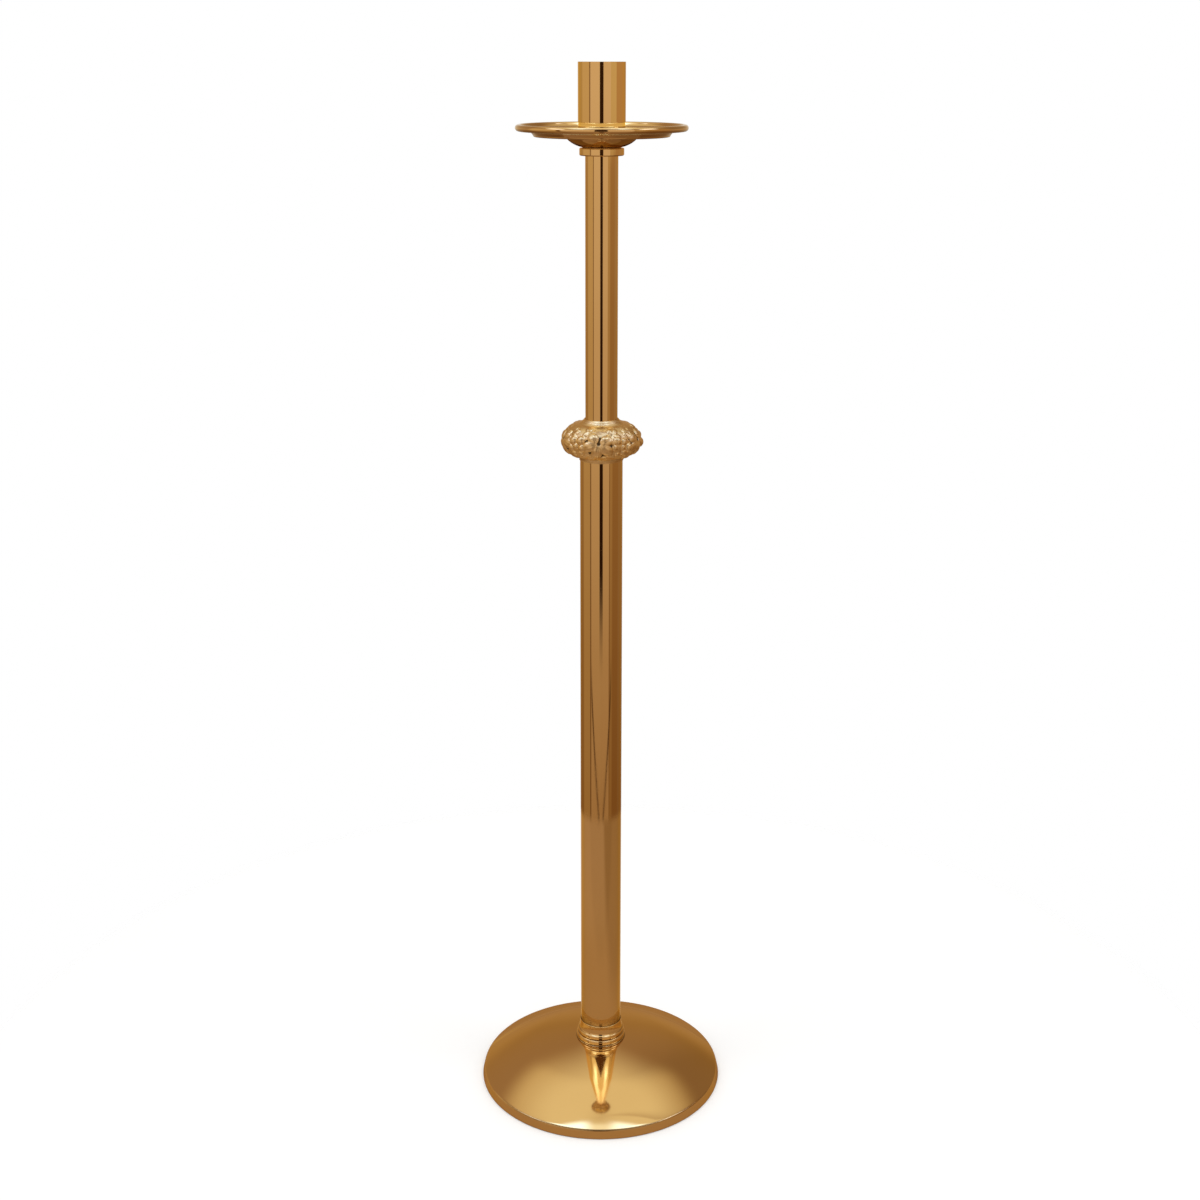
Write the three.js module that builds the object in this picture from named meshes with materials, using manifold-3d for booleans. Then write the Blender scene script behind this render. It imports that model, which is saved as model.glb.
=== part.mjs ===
// Floor-standing paschal candlestick in polished brass.
// Millimetres, +Z up, origin on the floor at the middle of the base.
// One tie rod runs up the axis and clamps base, tubes, knop, pan cup and socket together.
import * as THREE from "three";
import { mergeVertices } from "three/addons/utils/BufferGeometryUtils.js";
import Module from "manifold-3d";

const wasm = await Module();
wasm.setup();

// Base
const baseRadius = 134;
const rimHeight = 9.6;
const rimTaper = 2;
const domeRise = 31.2;
const domeRoundness = 2.08;
const crownRadius = 27.6;
const baseWall = 1.6;

// Felt, cover plate and weight inside the base
const feltThickness = 3;
const feltProud = 0.4;
const feltInset = 1.5;
const plateThickness = 1.5;
const weightRadius = 112;
const weightAirGap = 3;
const weightHubRadius = 24;
const weightHubThickness = 13;
const weightRecessRadius = 21;

// Tie rod and its fastenings
const rodRadius = 5;
const rodChamfer = 0.8;
const rodStickOut = 3;
const rodButtGap = 1;
const nutAcrossFlats = 17;
const nutHeight = 8;
const thinNutHeight = 6;
const washerRadius = 15;
const washerThickness = 2.5;
const topWasherRadius = 11;
const topWasherThickness = 1.5;
const couplingLength = 30;

// Beaded collar at the foot of the stem
const collarFootRadius = 27;
const collarFootHeight = 4.2;
const collarStep = 0.8;
const lowerBeadHeight = 5.4;
const lowerBeadBulge = 1.1;
const upperBeadHeight = 5;
const upperBeadRadius = 25.7;
const upperBeadBulge = 0.9;
const flareHeight = 10.7;
const flareFootRadius = 24.4;
const flareLip = 0.7;
const collarWeb = 5;

// Stem tubes
const lowerTubeRadius = 22.2;
const lowerTubeLength = 673.3;
const upperTubeRadius = 16.65;
const upperTubeLength = 275.2;
const tubeWall = 1.5;
const bushLength = 12;

// Knop
const knopHeight = 43.6;
const knopNeckHeight = 4.3;
const knopShoulderHeight = 4.9;
const knopBodyRadius = 40;
const knopRoundness = 1.75;
const knopLip = 1;
const knopShoulderLip = 0.6;
const knopShoulderSpread = 2.2;
const knopShoulderDrop = 1.8;
const knopLowerSeat = 3.3;
const knopUpperSeat = 4;
const knopWeb = 3;
const knopCavityRadius = 14;

// Grapes and leaves on the knop
const motifCount = 5;
const firstBunch = -54;
const grapeRadius = 3.6;
const grapeSpacing = 5.8;
const grapeSink = 3.2;
const bunchRows = [2, 3, 2, 1];
const leafSize = 12.5;
const leafLobes = 5;
const leafNotch = 0.34;
const leafThickness = 1.1;
const leafCrown = 0.8;
const leafRoot = 1.5;

// Ring and cup under the pan
const topCollarRadius = 22.5;
const topCollarHeight = 7.7;
const topCollarSeat = 3.8;
const topCollarEdge = 0.9;
const cupNeckRadius = 19.6;
const cupNeckHeight = 0.6;
const cupRimRadius = 36;
const cupHeight = 10.6;
const cupRoundness = 1.45;
const cupRecess = 5;

// Drip pan
const panRadius = 86.4;
const panLipRadius = 3.3;
const panLipOpening = 160;
const panDepth = 12.1;
const panWall = 1.5;
const panWellRadius = 68.6;
const panStepHeight = 4.6;
const panStepLean = 2.5;
const panCornerRadius = 1.6;
const panFlangeDip = 0.5;

// Candle socket
const socketRadius = 23.85;
const socketWall = 1.4;
const socketLength = 77.5;
const socketEdge = 0.4;
const socketFloorThickness = 11;
const socketNutRecess = 8;
const socketNutRecessRadius = 12;

// Clearances
const slipGap = 0.3;
const rodGap = 0.4;
const panGap = 0.45;

// How finely round things are divided
const largeSides = 56;
const middleSides = 40;
const smallSides = 20;
const knopSides = 36;

// Levels, from the floor up
const rimBottom = feltProud;
const rimTop = rimBottom + rimHeight;
const crown = rimTop + domeRise;
const crownUnderside = crown - baseWall;
const plateTop = feltThickness + plateThickness;
const weightRecessTop = crownUnderside - weightHubThickness;
const lowerTubeBottom = crown + collarWeb;
const lowerTubeTop = lowerTubeBottom + lowerTubeLength;
const knopBottom = lowerTubeTop - knopLowerSeat;
const knopTop = knopBottom + knopHeight;
const couplingBottom = lowerTubeTop + knopWeb;
const rodJoint = couplingBottom + couplingLength / 2;
const upperTubeBottom = knopTop - knopUpperSeat;
const upperTubeTop = upperTubeBottom + upperTubeLength;
const topCollarBottom = upperTubeTop - topCollarSeat;
const cupBottom = topCollarBottom + topCollarHeight;
const cupTop = cupBottom + cupHeight;
const socketBottom = cupTop - cupRecess;
const socketTop = socketBottom + socketLength;
const candleSeat = socketBottom + socketFloorThickness;
const nutRecessBottom = candleSeat - socketNutRecess;
const rodHole = rodRadius + rodGap;

const brass = () => new THREE.MeshStandardMaterial({ color: 0xc6954f, metalness: 1, roughness: 0.12 });
const castBrass = () => new THREE.MeshStandardMaterial({ color: 0xc08d46, metalness: 1, roughness: 0.24 });
const steel = () => new THREE.MeshStandardMaterial({ color: 0x9a9c9e, metalness: 1, roughness: 0.35 });
const iron = () => new THREE.MeshStandardMaterial({ color: 0x3b3a38, metalness: 0.6, roughness: 0.7 });
const felt = () => new THREE.MeshStandardMaterial({ color: 0x2c2a26, metalness: 0, roughness: 0.95 });

// A point of an outline: distance from the axis and height.
const at = (radius, height) => new THREE.Vector2(radius, height);

// Six times the volume of a triangle mesh, positive when its faces point out.
function signedVolume(position, index) {
  const a = new THREE.Vector3();
  const b = new THREE.Vector3();
  const c = new THREE.Vector3();
  let sum = 0;
  for (let i = 0; i < index.length; i += 3) {
    a.fromBufferAttribute(position, index[i]);
    b.fromBufferAttribute(position, index[i + 1]);
    c.fromBufferAttribute(position, index[i + 2]);
    sum += a.dot(b.cross(c));
  }
  return sum;
}

// Merges shared corners, drops triangles with no area and turns the faces outward.
function closeMesh(geometry) {
  geometry.deleteAttribute("normal");
  geometry.deleteAttribute("uv");
  const tolerance = 1e-4;
  const merged = mergeVertices(geometry, tolerance);
  const source = merged.index.array;
  const index = [];
  for (let i = 0; i < source.length; i += 3) {
    const [a, b, c] = [source[i], source[i + 1], source[i + 2]];
    if (a !== b && b !== c && c !== a) index.push(a, b, c);
  }
  if (signedVolume(merged.attributes.position, index) < 0) index.reverse();
  merged.setIndex(index);
  return merged;
}

// Turns an outline about the Z axis. The outline closes on itself or starts and ends on the axis.
function revolve(outline, sides) {
  const turned = new THREE.LatheGeometry(outline, sides);
  turned.rotateX(Math.PI / 2);
  return closeMesh(turned);
}

// A ring or tube with a rectangular section.
function ringOutline(inner, outer, bottom, top) {
  return [at(inner, bottom), at(outer, bottom), at(outer, top), at(inner, top), at(inner, bottom)];
}

// A tube whose four edges are broken by a small chamfer.
function chamferedRing(inner, outer, bottom, top, edge) {
  return [
    at(inner, bottom), at(outer - edge, bottom), at(outer, bottom + edge), at(outer, top - edge),
    at(outer - edge, top), at(inner + edge, top), at(inner, top - edge), at(inner, bottom),
  ];
}

// Points on an arc, angles in degrees from the outward direction.
function arc(center, radius, from, to, steps) {
  const points = [];
  for (let i = 0; i <= steps; i += 1) {
    const angle = THREE.MathUtils.degToRad(from + ((to - from) * i) / steps);
    points.push(at(center.x + radius * Math.cos(angle), center.y + radius * Math.sin(angle)));
  }
  return points;
}

// A half-round bead on a turned piece, from bottom to top.
function bead(rootRadius, bulge, bottom, height, steps) {
  const points = [];
  for (let i = 0; i <= steps; i += 1) {
    const angle = Math.PI * (i / steps - 0.5);
    const level = bottom + (height / 2) * (1 + Math.sin(angle));
    points.push(at(rootRadius + bulge * Math.cos(angle), level));
  }
  return points;
}

// The same path moved sideways by the wall of a sheet, to the left of its direction.
function offsetPath(path, wall) {
  return path.map((point, i) => {
    const before = path[Math.max(i - 1, 0)];
    const after = path[Math.min(i + 1, path.length - 1)];
    const incoming = point.clone().sub(before).normalize();
    const outgoing = after.clone().sub(point).normalize();
    if (i === 0) incoming.copy(outgoing);
    if (i === path.length - 1) outgoing.copy(incoming);
    const along = incoming.clone().add(outgoing).normalize();
    const stretch = wall / Math.max(along.dot(incoming), 0.5);
    return at(point.x - along.y * stretch, point.y + along.x * stretch);
  });
}

// Height of the outside of the dome at a distance from the axis.
function domeHeight(radius) {
  const edge = baseRadius - rimTaper;
  const share = Math.max(radius - crownRadius, 0) / (edge - crownRadius);
  return rimTop - domeRise * (Math.pow(share, domeRoundness) - 1);
}

function baseShell() {
  const domeSteps = 6;
  const outside = [at(baseRadius, rimBottom), at(baseRadius - rimTaper, rimTop)];
  for (let i = 1; i <= domeSteps; i += 1) {
    const radius = baseRadius - rimTaper - ((baseRadius - rimTaper - crownRadius) * i) / domeSteps;
    outside.push(at(radius, domeHeight(radius)));
  }
  outside.push(at(rodHole, crown));
  const inside = offsetPath(outside, baseWall);
  inside[0].y = rimBottom;
  inside[inside.length - 1].set(rodHole, crownUnderside);
  inside[inside.length - 2].y = crownUnderside;
  return revolve([...outside, ...inside.reverse(), outside[0].clone()], largeSides);
}

function baseWeight() {
  const steps = 3;
  const top = [at(rodHole, crownUnderside), at(weightHubRadius, crownUnderside)];
  for (let i = 0; i <= steps; i += 1) {
    const radius = weightHubRadius + ((weightRadius - weightHubRadius) * i) / steps;
    top.push(at(radius, domeHeight(radius) - baseWall - weightAirGap));
  }
  return revolve([
    at(rodHole, weightRecessTop), ...top, at(weightRadius, plateTop), at(weightRecessRadius, plateTop),
    at(weightRecessRadius, weightRecessTop), at(rodHole, weightRecessTop),
  ], middleSides);
}

function discOutline(radius, bottom, top) {
  return [at(0, bottom), at(radius, bottom), at(radius, top), at(0, top)];
}

function baseCollar() {
  const beadSteps = 4;
  const footTop = crown + collarFootHeight;
  const lowerBeadTop = footTop + collarStep + lowerBeadHeight;
  const upperBeadTop = lowerBeadTop + upperBeadHeight;
  const top = upperBeadTop + flareHeight;
  const lowerBeadRoot = collarFootRadius - lowerBeadBulge;
  const upperBeadRoot = upperBeadRadius - upperBeadBulge;
  const bore = lowerTubeRadius + slipGap;
  return revolve([
    at(rodHole, crown), at(collarFootRadius - collarStep / 2, crown), at(collarFootRadius, crown + collarStep),
    at(collarFootRadius, footTop), ...bead(lowerBeadRoot, lowerBeadBulge, footTop + collarStep, lowerBeadHeight, beadSteps),
    ...bead(upperBeadRoot, upperBeadBulge, lowerBeadTop, upperBeadHeight, beadSteps),
    at(flareFootRadius, upperBeadTop), at(bore + flareLip, top), at(bore, top),
    at(bore, lowerTubeBottom), at(rodHole, lowerTubeBottom), at(rodHole, crown),
  ], middleSides);
}

function stemTube(radius, bottom, top) {
  return revolve(ringOutline(radius - tubeWall, radius, bottom, top), middleSides);
}

function tubeBush(tubeRadius, bottom) {
  const outline = ringOutline(rodHole, tubeRadius - tubeWall - slipGap, bottom, bottom + bushLength);
  return revolve(outline, smallSides);
}

function tieRod(bottom, top) {
  const waist = rodRadius - rodChamfer;
  return revolve([
    at(0, bottom), at(waist, bottom), at(rodRadius, bottom + rodChamfer), at(rodRadius, top - rodChamfer),
    at(waist, top), at(0, top),
  ], smallSides);
}

function washer(radius, bottom, thickness) {
  return revolve(ringOutline(rodHole, radius, bottom, bottom + thickness), smallSides);
}

// A hexagon nut with its bore, extruded up from its lower face.
function hexNut(bottom, height) {
  const corners = 6;
  const cornerRadius = nutAcrossFlats / 2 / Math.cos(Math.PI / corners);
  const hexagon = new THREE.Shape();
  for (let i = 0; i < corners; i += 1) {
    const angle = (2 * Math.PI * i) / corners;
    const [x, y] = [cornerRadius * Math.cos(angle), cornerRadius * Math.sin(angle)];
    if (i === 0) hexagon.moveTo(x, y);
    else hexagon.lineTo(x, y);
  }
  hexagon.closePath();
  hexagon.holes.push(new THREE.Path().absarc(0, 0, rodRadius + slipGap, 0, 2 * Math.PI, true));
  const nut = new THREE.ExtrudeGeometry(hexagon, { depth: height, bevelEnabled: false, curveSegments: smallSides / 2 });
  nut.translate(0, 0, bottom);
  return closeMesh(nut);
}

// The knop's body: height share -1 above its neck to 1 under the shoulder.
const knopHalf = (knopHeight - knopNeckHeight - knopShoulderHeight) / 2;
const knopMiddle = knopBottom + knopNeckHeight + knopHalf;
const knopRootRadius = lowerTubeRadius + knopLip;

function knopRadiusAt(share) {
  const bulge = knopBodyRadius - knopRootRadius;
  const fullness = 1 - Math.pow(Math.min(Math.abs(share), 1), knopRoundness);
  return knopRootRadius + bulge * Math.pow(Math.max(fullness, 0), 1 / knopRoundness);
}

function knopBody() {
  const bellySteps = 11;
  const belly = [];
  for (let i = 0; i <= bellySteps; i += 1) {
    const share = -Math.cos((Math.PI * i) / bellySteps);
    belly.push(at(knopRadiusAt(share), knopMiddle + knopHalf * share));
  }
  const lowerBore = lowerTubeRadius + slipGap;
  const upperBore = upperTubeRadius + slipGap;
  const cavityTop = upperTubeBottom - knopWeb;
  return revolve([
    at(lowerBore, knopBottom), at(knopRootRadius, knopBottom), ...belly,
    at(upperBore + knopShoulderSpread, knopTop - knopShoulderDrop),
    at(upperBore + knopShoulderLip, knopTop), at(upperBore, knopTop),
    at(upperBore, upperTubeBottom), at(rodHole, upperTubeBottom), at(rodHole, cavityTop),
    at(knopCavityRadius, cavityTop), at(knopCavityRadius, couplingBottom), at(rodHole, couplingBottom),
    at(rodHole, lowerTubeTop), at(lowerBore, lowerTubeTop), at(lowerBore, knopBottom),
  ], knopSides);
}

// A place on the knop: distances along and up the belly from a middle point, and how far it stands out.
function onKnop(turn, share, along, up, lift) {
  const here = THREE.MathUtils.clamp(share + up / knopHalf, -0.97, 0.97);
  const step = 0.01;
  const radius = knopRadiusAt(here);
  const slope = (knopRadiusAt(here + step) - knopRadiusAt(here - step)) / (2 * step * knopHalf);
  const outward = 1 / Math.hypot(1, slope);
  const reach = radius + lift * outward;
  const angle = turn + along / knopBodyRadius;
  const height = knopMiddle + knopHalf * here - lift * slope * outward;
  return new THREE.Vector3(reach * Math.cos(angle), reach * Math.sin(angle), height);
}

// One bunch of grapes: rows of berries that narrow towards the foot.
function grapeBunch(turn) {
  const berries = [];
  const rowPitch = grapeSpacing * Math.sqrt(0.75);
  bunchRows.forEach((count, row) => {
    const up = (1 - row) * rowPitch;
    for (let i = 0; i < count; i += 1) {
      const along = (i - (count - 1) / 2) * grapeSpacing;
      const berry = new THREE.DodecahedronGeometry(grapeRadius);
      const place = onKnop(turn, 0, along, up, grapeRadius - grapeSink);
      berry.translate(place.x, place.y, place.z);
      berries.push(closeMesh(berry));
    }
  });
  return berries;
}

// One vine leaf: a lobed outline laid on the belly, raised in the middle and rooted in the body.
function vineLeaf(turn) {
  const sides = 4 * leafLobes;
  const shares = [1, 0.55];
  const points = [onKnop(turn, 0, 0, 0, leafThickness + leafCrown), onKnop(turn, 0, 0, 0, -leafRoot)];
  const levels = [-leafRoot, leafThickness * 0.6, leafThickness + leafCrown * 0.6];
  const reach = [1, ...shares];
  for (let ring = 0; ring < levels.length; ring += 1) {
    for (let i = 0; i < sides; i += 1) {
      const angle = (2 * Math.PI * i) / sides;
      const notch = Math.abs(Math.sin((leafLobes * angle) / 2));
      const out = leafSize * (1 - leafNotch * notch) * reach[ring];
      points.push(onKnop(turn, 0, out * Math.sin(angle), -out * Math.cos(angle), levels[ring]));
    }
  }
  const index = [];
  const ringStart = (ring) => 2 + ring * sides;
  for (let i = 0; i < sides; i += 1) {
    const next = (i + 1) % sides;
    index.push(1, ringStart(0) + next, ringStart(0) + i);
    for (let ring = 0; ring < levels.length - 1; ring += 1) {
      const [low, high] = [ringStart(ring), ringStart(ring + 1)];
      index.push(low + i, low + next, high + next, low + i, high + next, high + i);
    }
    const last = ringStart(levels.length - 1);
    index.push(0, last + i, last + next);
  }
  const leaf = new THREE.BufferGeometry();
  leaf.setAttribute("position", new THREE.Float32BufferAttribute(points.flatMap((p) => p.toArray()), 3));
  leaf.setIndex(index);
  if (signedVolume(leaf.attributes.position, index) < 0) leaf.setIndex([...index].reverse());
  return leaf;
}

function toManifold(geometry) {
  return new wasm.Manifold(new wasm.Mesh({
    numProp: 3,
    vertProperties: new Float32Array(geometry.attributes.position.array),
    triVerts: new Uint32Array(geometry.index.array),
  }));
}

function fromManifold(solid) {
  const mesh = solid.getMesh();
  const geometry = new THREE.BufferGeometry();
  geometry.setAttribute("position", new THREE.BufferAttribute(new Float32Array(mesh.vertProperties), 3));
  geometry.setIndex(new THREE.BufferAttribute(new Uint32Array(mesh.triVerts), 1));
  return geometry;
}

function knop() {
  let solid = toManifold(knopBody());
  for (let i = 0; i < motifCount; i += 1) {
    const turn = THREE.MathUtils.degToRad(firstBunch) + (2 * Math.PI * i) / motifCount;
    solid = solid.add(toManifold(vineLeaf(turn + Math.PI / motifCount)));
    for (const berry of grapeBunch(turn)) solid = solid.add(toManifold(berry));
  }
  return fromManifold(solid);
}

function topCollar() {
  const bore = upperTubeRadius + slipGap;
  const [low, high] = [topCollarBottom, topCollarBottom + topCollarHeight];
  return revolve([
    at(bore, low), at(topCollarRadius - topCollarEdge, low), at(topCollarRadius, low + topCollarEdge),
    at(topCollarRadius, high - topCollarEdge), at(topCollarRadius - topCollarEdge, high), at(rodHole, high),
    at(rodHole, upperTubeTop), at(bore, upperTubeTop), at(bore, low),
  ], middleSides);
}

function panCup() {
  const steps = 6;
  const curve = [];
  for (let i = 1; i <= steps; i += 1) {
    const drop = Math.cos((Math.PI * i) / (2 * steps));
    const fullness = Math.pow(1 - Math.pow(drop, cupRoundness), 1 / cupRoundness);
    const radius = cupNeckRadius + (cupRimRadius - cupNeckRadius) * fullness;
    curve.push(at(radius, cupTop - (cupHeight - cupNeckHeight) * drop));
  }
  const recess = socketRadius + slipGap;
  return revolve([
    at(rodHole, cupBottom), at(cupNeckRadius, cupBottom), at(cupNeckRadius, cupBottom + cupNeckHeight), ...curve,
    at(recess, cupTop), at(recess, socketBottom), at(rodHole, socketBottom), at(rodHole, cupBottom),
  ], middleSides);
}

// The pan is one spun sheet: flat well, leaning step, shallow flange and a rolled lip.
function dripPan() {
  const hole = socketRadius + panGap;
  const lip = at(panRadius - panLipRadius, cupTop + panDepth - panLipRadius);
  const stepFoot = at(panWellRadius, cupTop + panCornerRadius);
  const flangeFoot = at(panWellRadius + panStepLean, cupTop + panStepHeight);
  const lipSteps = 7;
  const lipRound = arc(lip, panLipRadius, -panLipOpening, panLipOpening, lipSteps);
  const flangeMiddle = flangeFoot.clone().add(lipRound[0]).divideScalar(2);
  flangeMiddle.y -= panFlangeDip;
  const underside = [
    at(hole, cupTop), ...arc(at(stepFoot.x - panCornerRadius, stepFoot.y), panCornerRadius, -90, 0, 2),
    flangeFoot, flangeMiddle, lipRound[0],
  ];
  const topside = offsetPath(underside, panWall);
  topside[0].set(hole, cupTop + panWall);
  topside.pop();
  const outline = [...underside, ...lipRound.slice(1), ...topside.reverse(), underside[0].clone()];
  return revolve(outline, largeSides);
}

function candleSocket() {
  const inner = socketRadius - socketWall;
  return revolve(chamferedRing(inner, socketRadius, socketBottom, socketTop, socketEdge), middleSides);
}

function socketFloor() {
  const outer = socketRadius - socketWall - slipGap;
  return revolve([
    at(rodHole, socketBottom), at(outer, socketBottom), at(outer, candleSeat),
    at(socketNutRecessRadius, candleSeat), at(socketNutRecessRadius, nutRecessBottom),
    at(rodHole, nutRecessBottom), at(rodHole, socketBottom),
  ], smallSides);
}

function piece(name, geometry, material) {
  const mesh = new THREE.Mesh(geometry, material);
  mesh.name = name;
  return mesh;
}

const washerBottom = weightRecessTop - washerThickness;
const bottomNut = washerBottom - nutHeight;
const topNut = nutRecessBottom + topWasherThickness;
const padRadius = baseRadius - baseWall - feltInset;

// Everything that the tie rod clamps
const stand = new THREE.Group();
stand.add(
  piece("felt_pad", revolve(discOutline(padRadius, 0, feltThickness), largeSides), felt()),
  piece("base_plate", revolve(discOutline(padRadius, feltThickness, plateTop), largeSides), steel()),
  piece("base_weight", baseWeight(), iron()),
  piece("base_shell", baseShell(), brass()),
  piece("rod_bottom_washer", washer(washerRadius, washerBottom, washerThickness), steel()),
  piece("rod_bottom_nut", hexNut(bottomNut, nutHeight), steel()),
  piece("lower_tie_rod", tieRod(bottomNut - rodStickOut, rodJoint - rodButtGap / 2), steel()),
  piece("base_collar", baseCollar(), brass()),
  piece("lower_tube_foot_bush", tubeBush(lowerTubeRadius, lowerTubeBottom), brass()),
  piece("lower_tube", stemTube(lowerTubeRadius, lowerTubeBottom, lowerTubeTop), brass()),
  piece("lower_tube_top_bush", tubeBush(lowerTubeRadius, lowerTubeTop - bushLength), brass()),
  piece("rod_coupling", hexNut(couplingBottom, couplingLength), steel()),
  piece("knop", knop(), castBrass()),
  piece("upper_tie_rod", tieRod(rodJoint + rodButtGap / 2, topNut + thinNutHeight), steel()),
  piece("upper_tube_foot_bush", tubeBush(upperTubeRadius, upperTubeBottom), brass()),
  piece("upper_tube", stemTube(upperTubeRadius, upperTubeBottom, upperTubeTop), brass()),
  piece("upper_tube_top_bush", tubeBush(upperTubeRadius, upperTubeTop - bushLength), brass()),
  piece("top_collar", topCollar(), brass()),
  piece("pan_cup", panCup(), brass()),
  piece("candle_socket", candleSocket(), brass()),
  piece("socket_floor", socketFloor(), brass()),
  piece("rod_top_washer", washer(topWasherRadius, nutRecessBottom, topWasherThickness), steel()),
  piece("rod_top_nut", hexNut(topNut, thinNutHeight), steel()),
);

// The pan lifts off over the socket
const pan = new THREE.Group();
pan.add(piece("drip_pan", dripPan(), brass()));

const candlestick = new THREE.Group();
candlestick.add(stand, pan);

export default candlestick;
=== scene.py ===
# %% [markdown]
# # A paschal candlestick in polished brass
# A turned base with a beaded collar, two stem tubes, a cast knop with vine leaves and grapes between
# them, a drip pan on a spun cup and an open candle socket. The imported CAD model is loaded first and
# stays as the fixed frame: every piece made below is drawn in the same metres, so it needs no fitting.

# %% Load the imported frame
import math

import bpy
import numpy as np
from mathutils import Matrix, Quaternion, Vector


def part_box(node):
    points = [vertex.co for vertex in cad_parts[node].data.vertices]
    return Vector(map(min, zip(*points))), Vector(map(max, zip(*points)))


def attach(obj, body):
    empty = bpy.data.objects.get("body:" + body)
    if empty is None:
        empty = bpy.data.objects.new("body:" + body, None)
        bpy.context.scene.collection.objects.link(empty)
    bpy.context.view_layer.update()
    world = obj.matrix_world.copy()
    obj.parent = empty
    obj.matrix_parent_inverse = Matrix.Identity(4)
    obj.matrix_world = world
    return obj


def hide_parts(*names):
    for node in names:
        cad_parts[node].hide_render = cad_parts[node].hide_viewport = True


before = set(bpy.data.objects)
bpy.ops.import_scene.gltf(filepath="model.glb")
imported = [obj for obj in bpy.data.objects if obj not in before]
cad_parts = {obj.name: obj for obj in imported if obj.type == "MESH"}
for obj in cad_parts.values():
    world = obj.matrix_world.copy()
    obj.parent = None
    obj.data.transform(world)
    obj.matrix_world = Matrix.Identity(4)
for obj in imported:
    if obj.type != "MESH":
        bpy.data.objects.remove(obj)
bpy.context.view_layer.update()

# %% [markdown]
# ## The camera
# A tall thin thing is photographed from a little above its pan, with a long lens that looks down at
# it. The picture is then shifted instead of tilted further, which keeps the stem upright. Length of
# lens, height, distance and tilt were found together from the ellipses of the base and the pan.

# %% Camera
picture_side, optical_row, sideways_shift = 1200, 500, -1.35
camera_height, camera_distance = 1.1208, 1.7578
camera_tilt, camera_roll = math.radians(14.314), math.radians(0.07)
film_width, lens_length = 36, 51.89


def add_object(name, data):
    """A new object with that data, linked to the scene."""
    made = bpy.data.objects.new(name, data)
    bpy.context.scene.collection.objects.link(made)
    return made


camera_data = bpy.data.cameras.new("studio_camera")
camera_data.sensor_width, camera_data.lens = film_width, lens_length
camera_data.shift_x = sideways_shift / picture_side
camera_data.shift_y = (optical_row - picture_side / 2) / picture_side
camera = add_object("studio_camera", camera_data)
camera.location = (0, -camera_distance, camera_height)
camera.rotation_mode = "QUATERNION"
camera.rotation_quaternion = (Quaternion((1, 0, 0), math.pi / 2 - camera_tilt)
                              @ Quaternion((0, 0, 1), camera_roll))
bpy.context.scene.camera = camera
print("camera shift", round(camera_data.shift_x, 4), round(camera_data.shift_y, 4))

# %% [markdown]
# ## Node helpers
# Node trees are easier to read when each node is made, filled and linked in one line. The same small
# helper serves materials, the studio around the object and Geometry Nodes: a socket takes either a
# plain value or the output of another node.

# %% Helpers that place nodes and sockets
FLOAT = "NodeSocketFloat"


def fill(tree, socket, value):
    """Links an output to a socket, or writes a plain value into it."""
    if isinstance(value, bpy.types.NodeSocket):
        tree.links.new(value, socket)
    else:
        socket.default_value = value


def place(tree, kind, settings=None, **values):
    """Adds a node; settings are its own properties, values fill or link its inputs by name."""
    node = tree.nodes.new(kind)
    for name, value in (settings or {}).items():
        setattr(node, name, value)
    for name, value in values.items():
        label = name.replace("_", " ")
        fill(tree, next(s for s in node.inputs if s.name == label and s.enabled), value)
    return node


def place_in_order(tree, kind, settings, *terms, sockets=(0, 1, 2)):
    """Adds a node and fills or links its inputs by their places in its list."""
    node = place(tree, kind, settings)
    for index, term in zip(sockets, terms):
        fill(tree, node.inputs[index], term)
    return node


def calculate(tree, operation, *terms, clamp=False):
    """One Math node; each term is a number or an output."""
    settings = {"operation": operation, "use_clamp": clamp}
    return place_in_order(tree, "ShaderNodeMath", settings, *terms).outputs[0]


def mix_colours(tree, share, first, second, **settings):
    """One Mix node for colours; the share and both colours are values or outputs."""
    settings["data_type"] = "RGBA"
    node = place_in_order(tree, "ShaderNodeMix", settings, share, first, second, sockets=(0, 6, 7))
    return node.outputs[2]


def mix_shaders(tree, share, first, second):
    return place_in_order(tree, "ShaderNodeMixShader", None, share, first, second).outputs["Shader"]


def ramp(tree, value, start, end, first=0.0, last=1.0, smooth=False):
    """Goes from first to last while the value goes from start to end, and stops there."""
    kind = "SMOOTHSTEP" if smooth else "LINEAR"
    return place(tree, "ShaderNodeMapRange", {"interpolation_type": kind}, Value=value, From_Min=start,
                 From_Max=end, To_Min=first, To_Max=last).outputs["Result"]


def noise(tree, vector, scale, detail, output="Fac", **values):
    return place(tree, "ShaderNodeTexNoise", Vector=vector, Scale=scale, Detail=detail,
                 **values).outputs[output]


def on_object(tree):
    return place(tree, "ShaderNodeTexCoord").outputs["Object"]


def split(tree, vector):
    return place(tree, "ShaderNodeSeparateXYZ", Vector=vector).outputs


def off_axis(tree, axes):
    """The distance from the upright axis."""
    squares = [calculate(tree, "MULTIPLY", axes[a], axes[a]) for a in "XY"]
    return calculate(tree, "SQRT", calculate(tree, "ADD", *squares))


def attribute(tree, name):
    return place(tree, "ShaderNodeAttribute", {"attribute_name": name}).outputs["Fac"]


def new_group(name, kind, inputs, outputs):
    """A node group with named inputs, given as {name: (type, value)}, and named outputs."""
    tree = bpy.data.node_groups.new(name, kind)
    for label, (socket_type, value) in inputs.items():
        socket = tree.interface.new_socket(name=label, in_out="INPUT", socket_type=socket_type)
        if value is not None:
            socket.default_value = value
    for label, socket_type in outputs.items():
        tree.interface.new_socket(name=label, in_out="OUTPUT", socket_type=socket_type)
    return tree, tree.nodes.new("NodeGroupInput").outputs, tree.nodes.new("NodeGroupOutput").inputs


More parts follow.
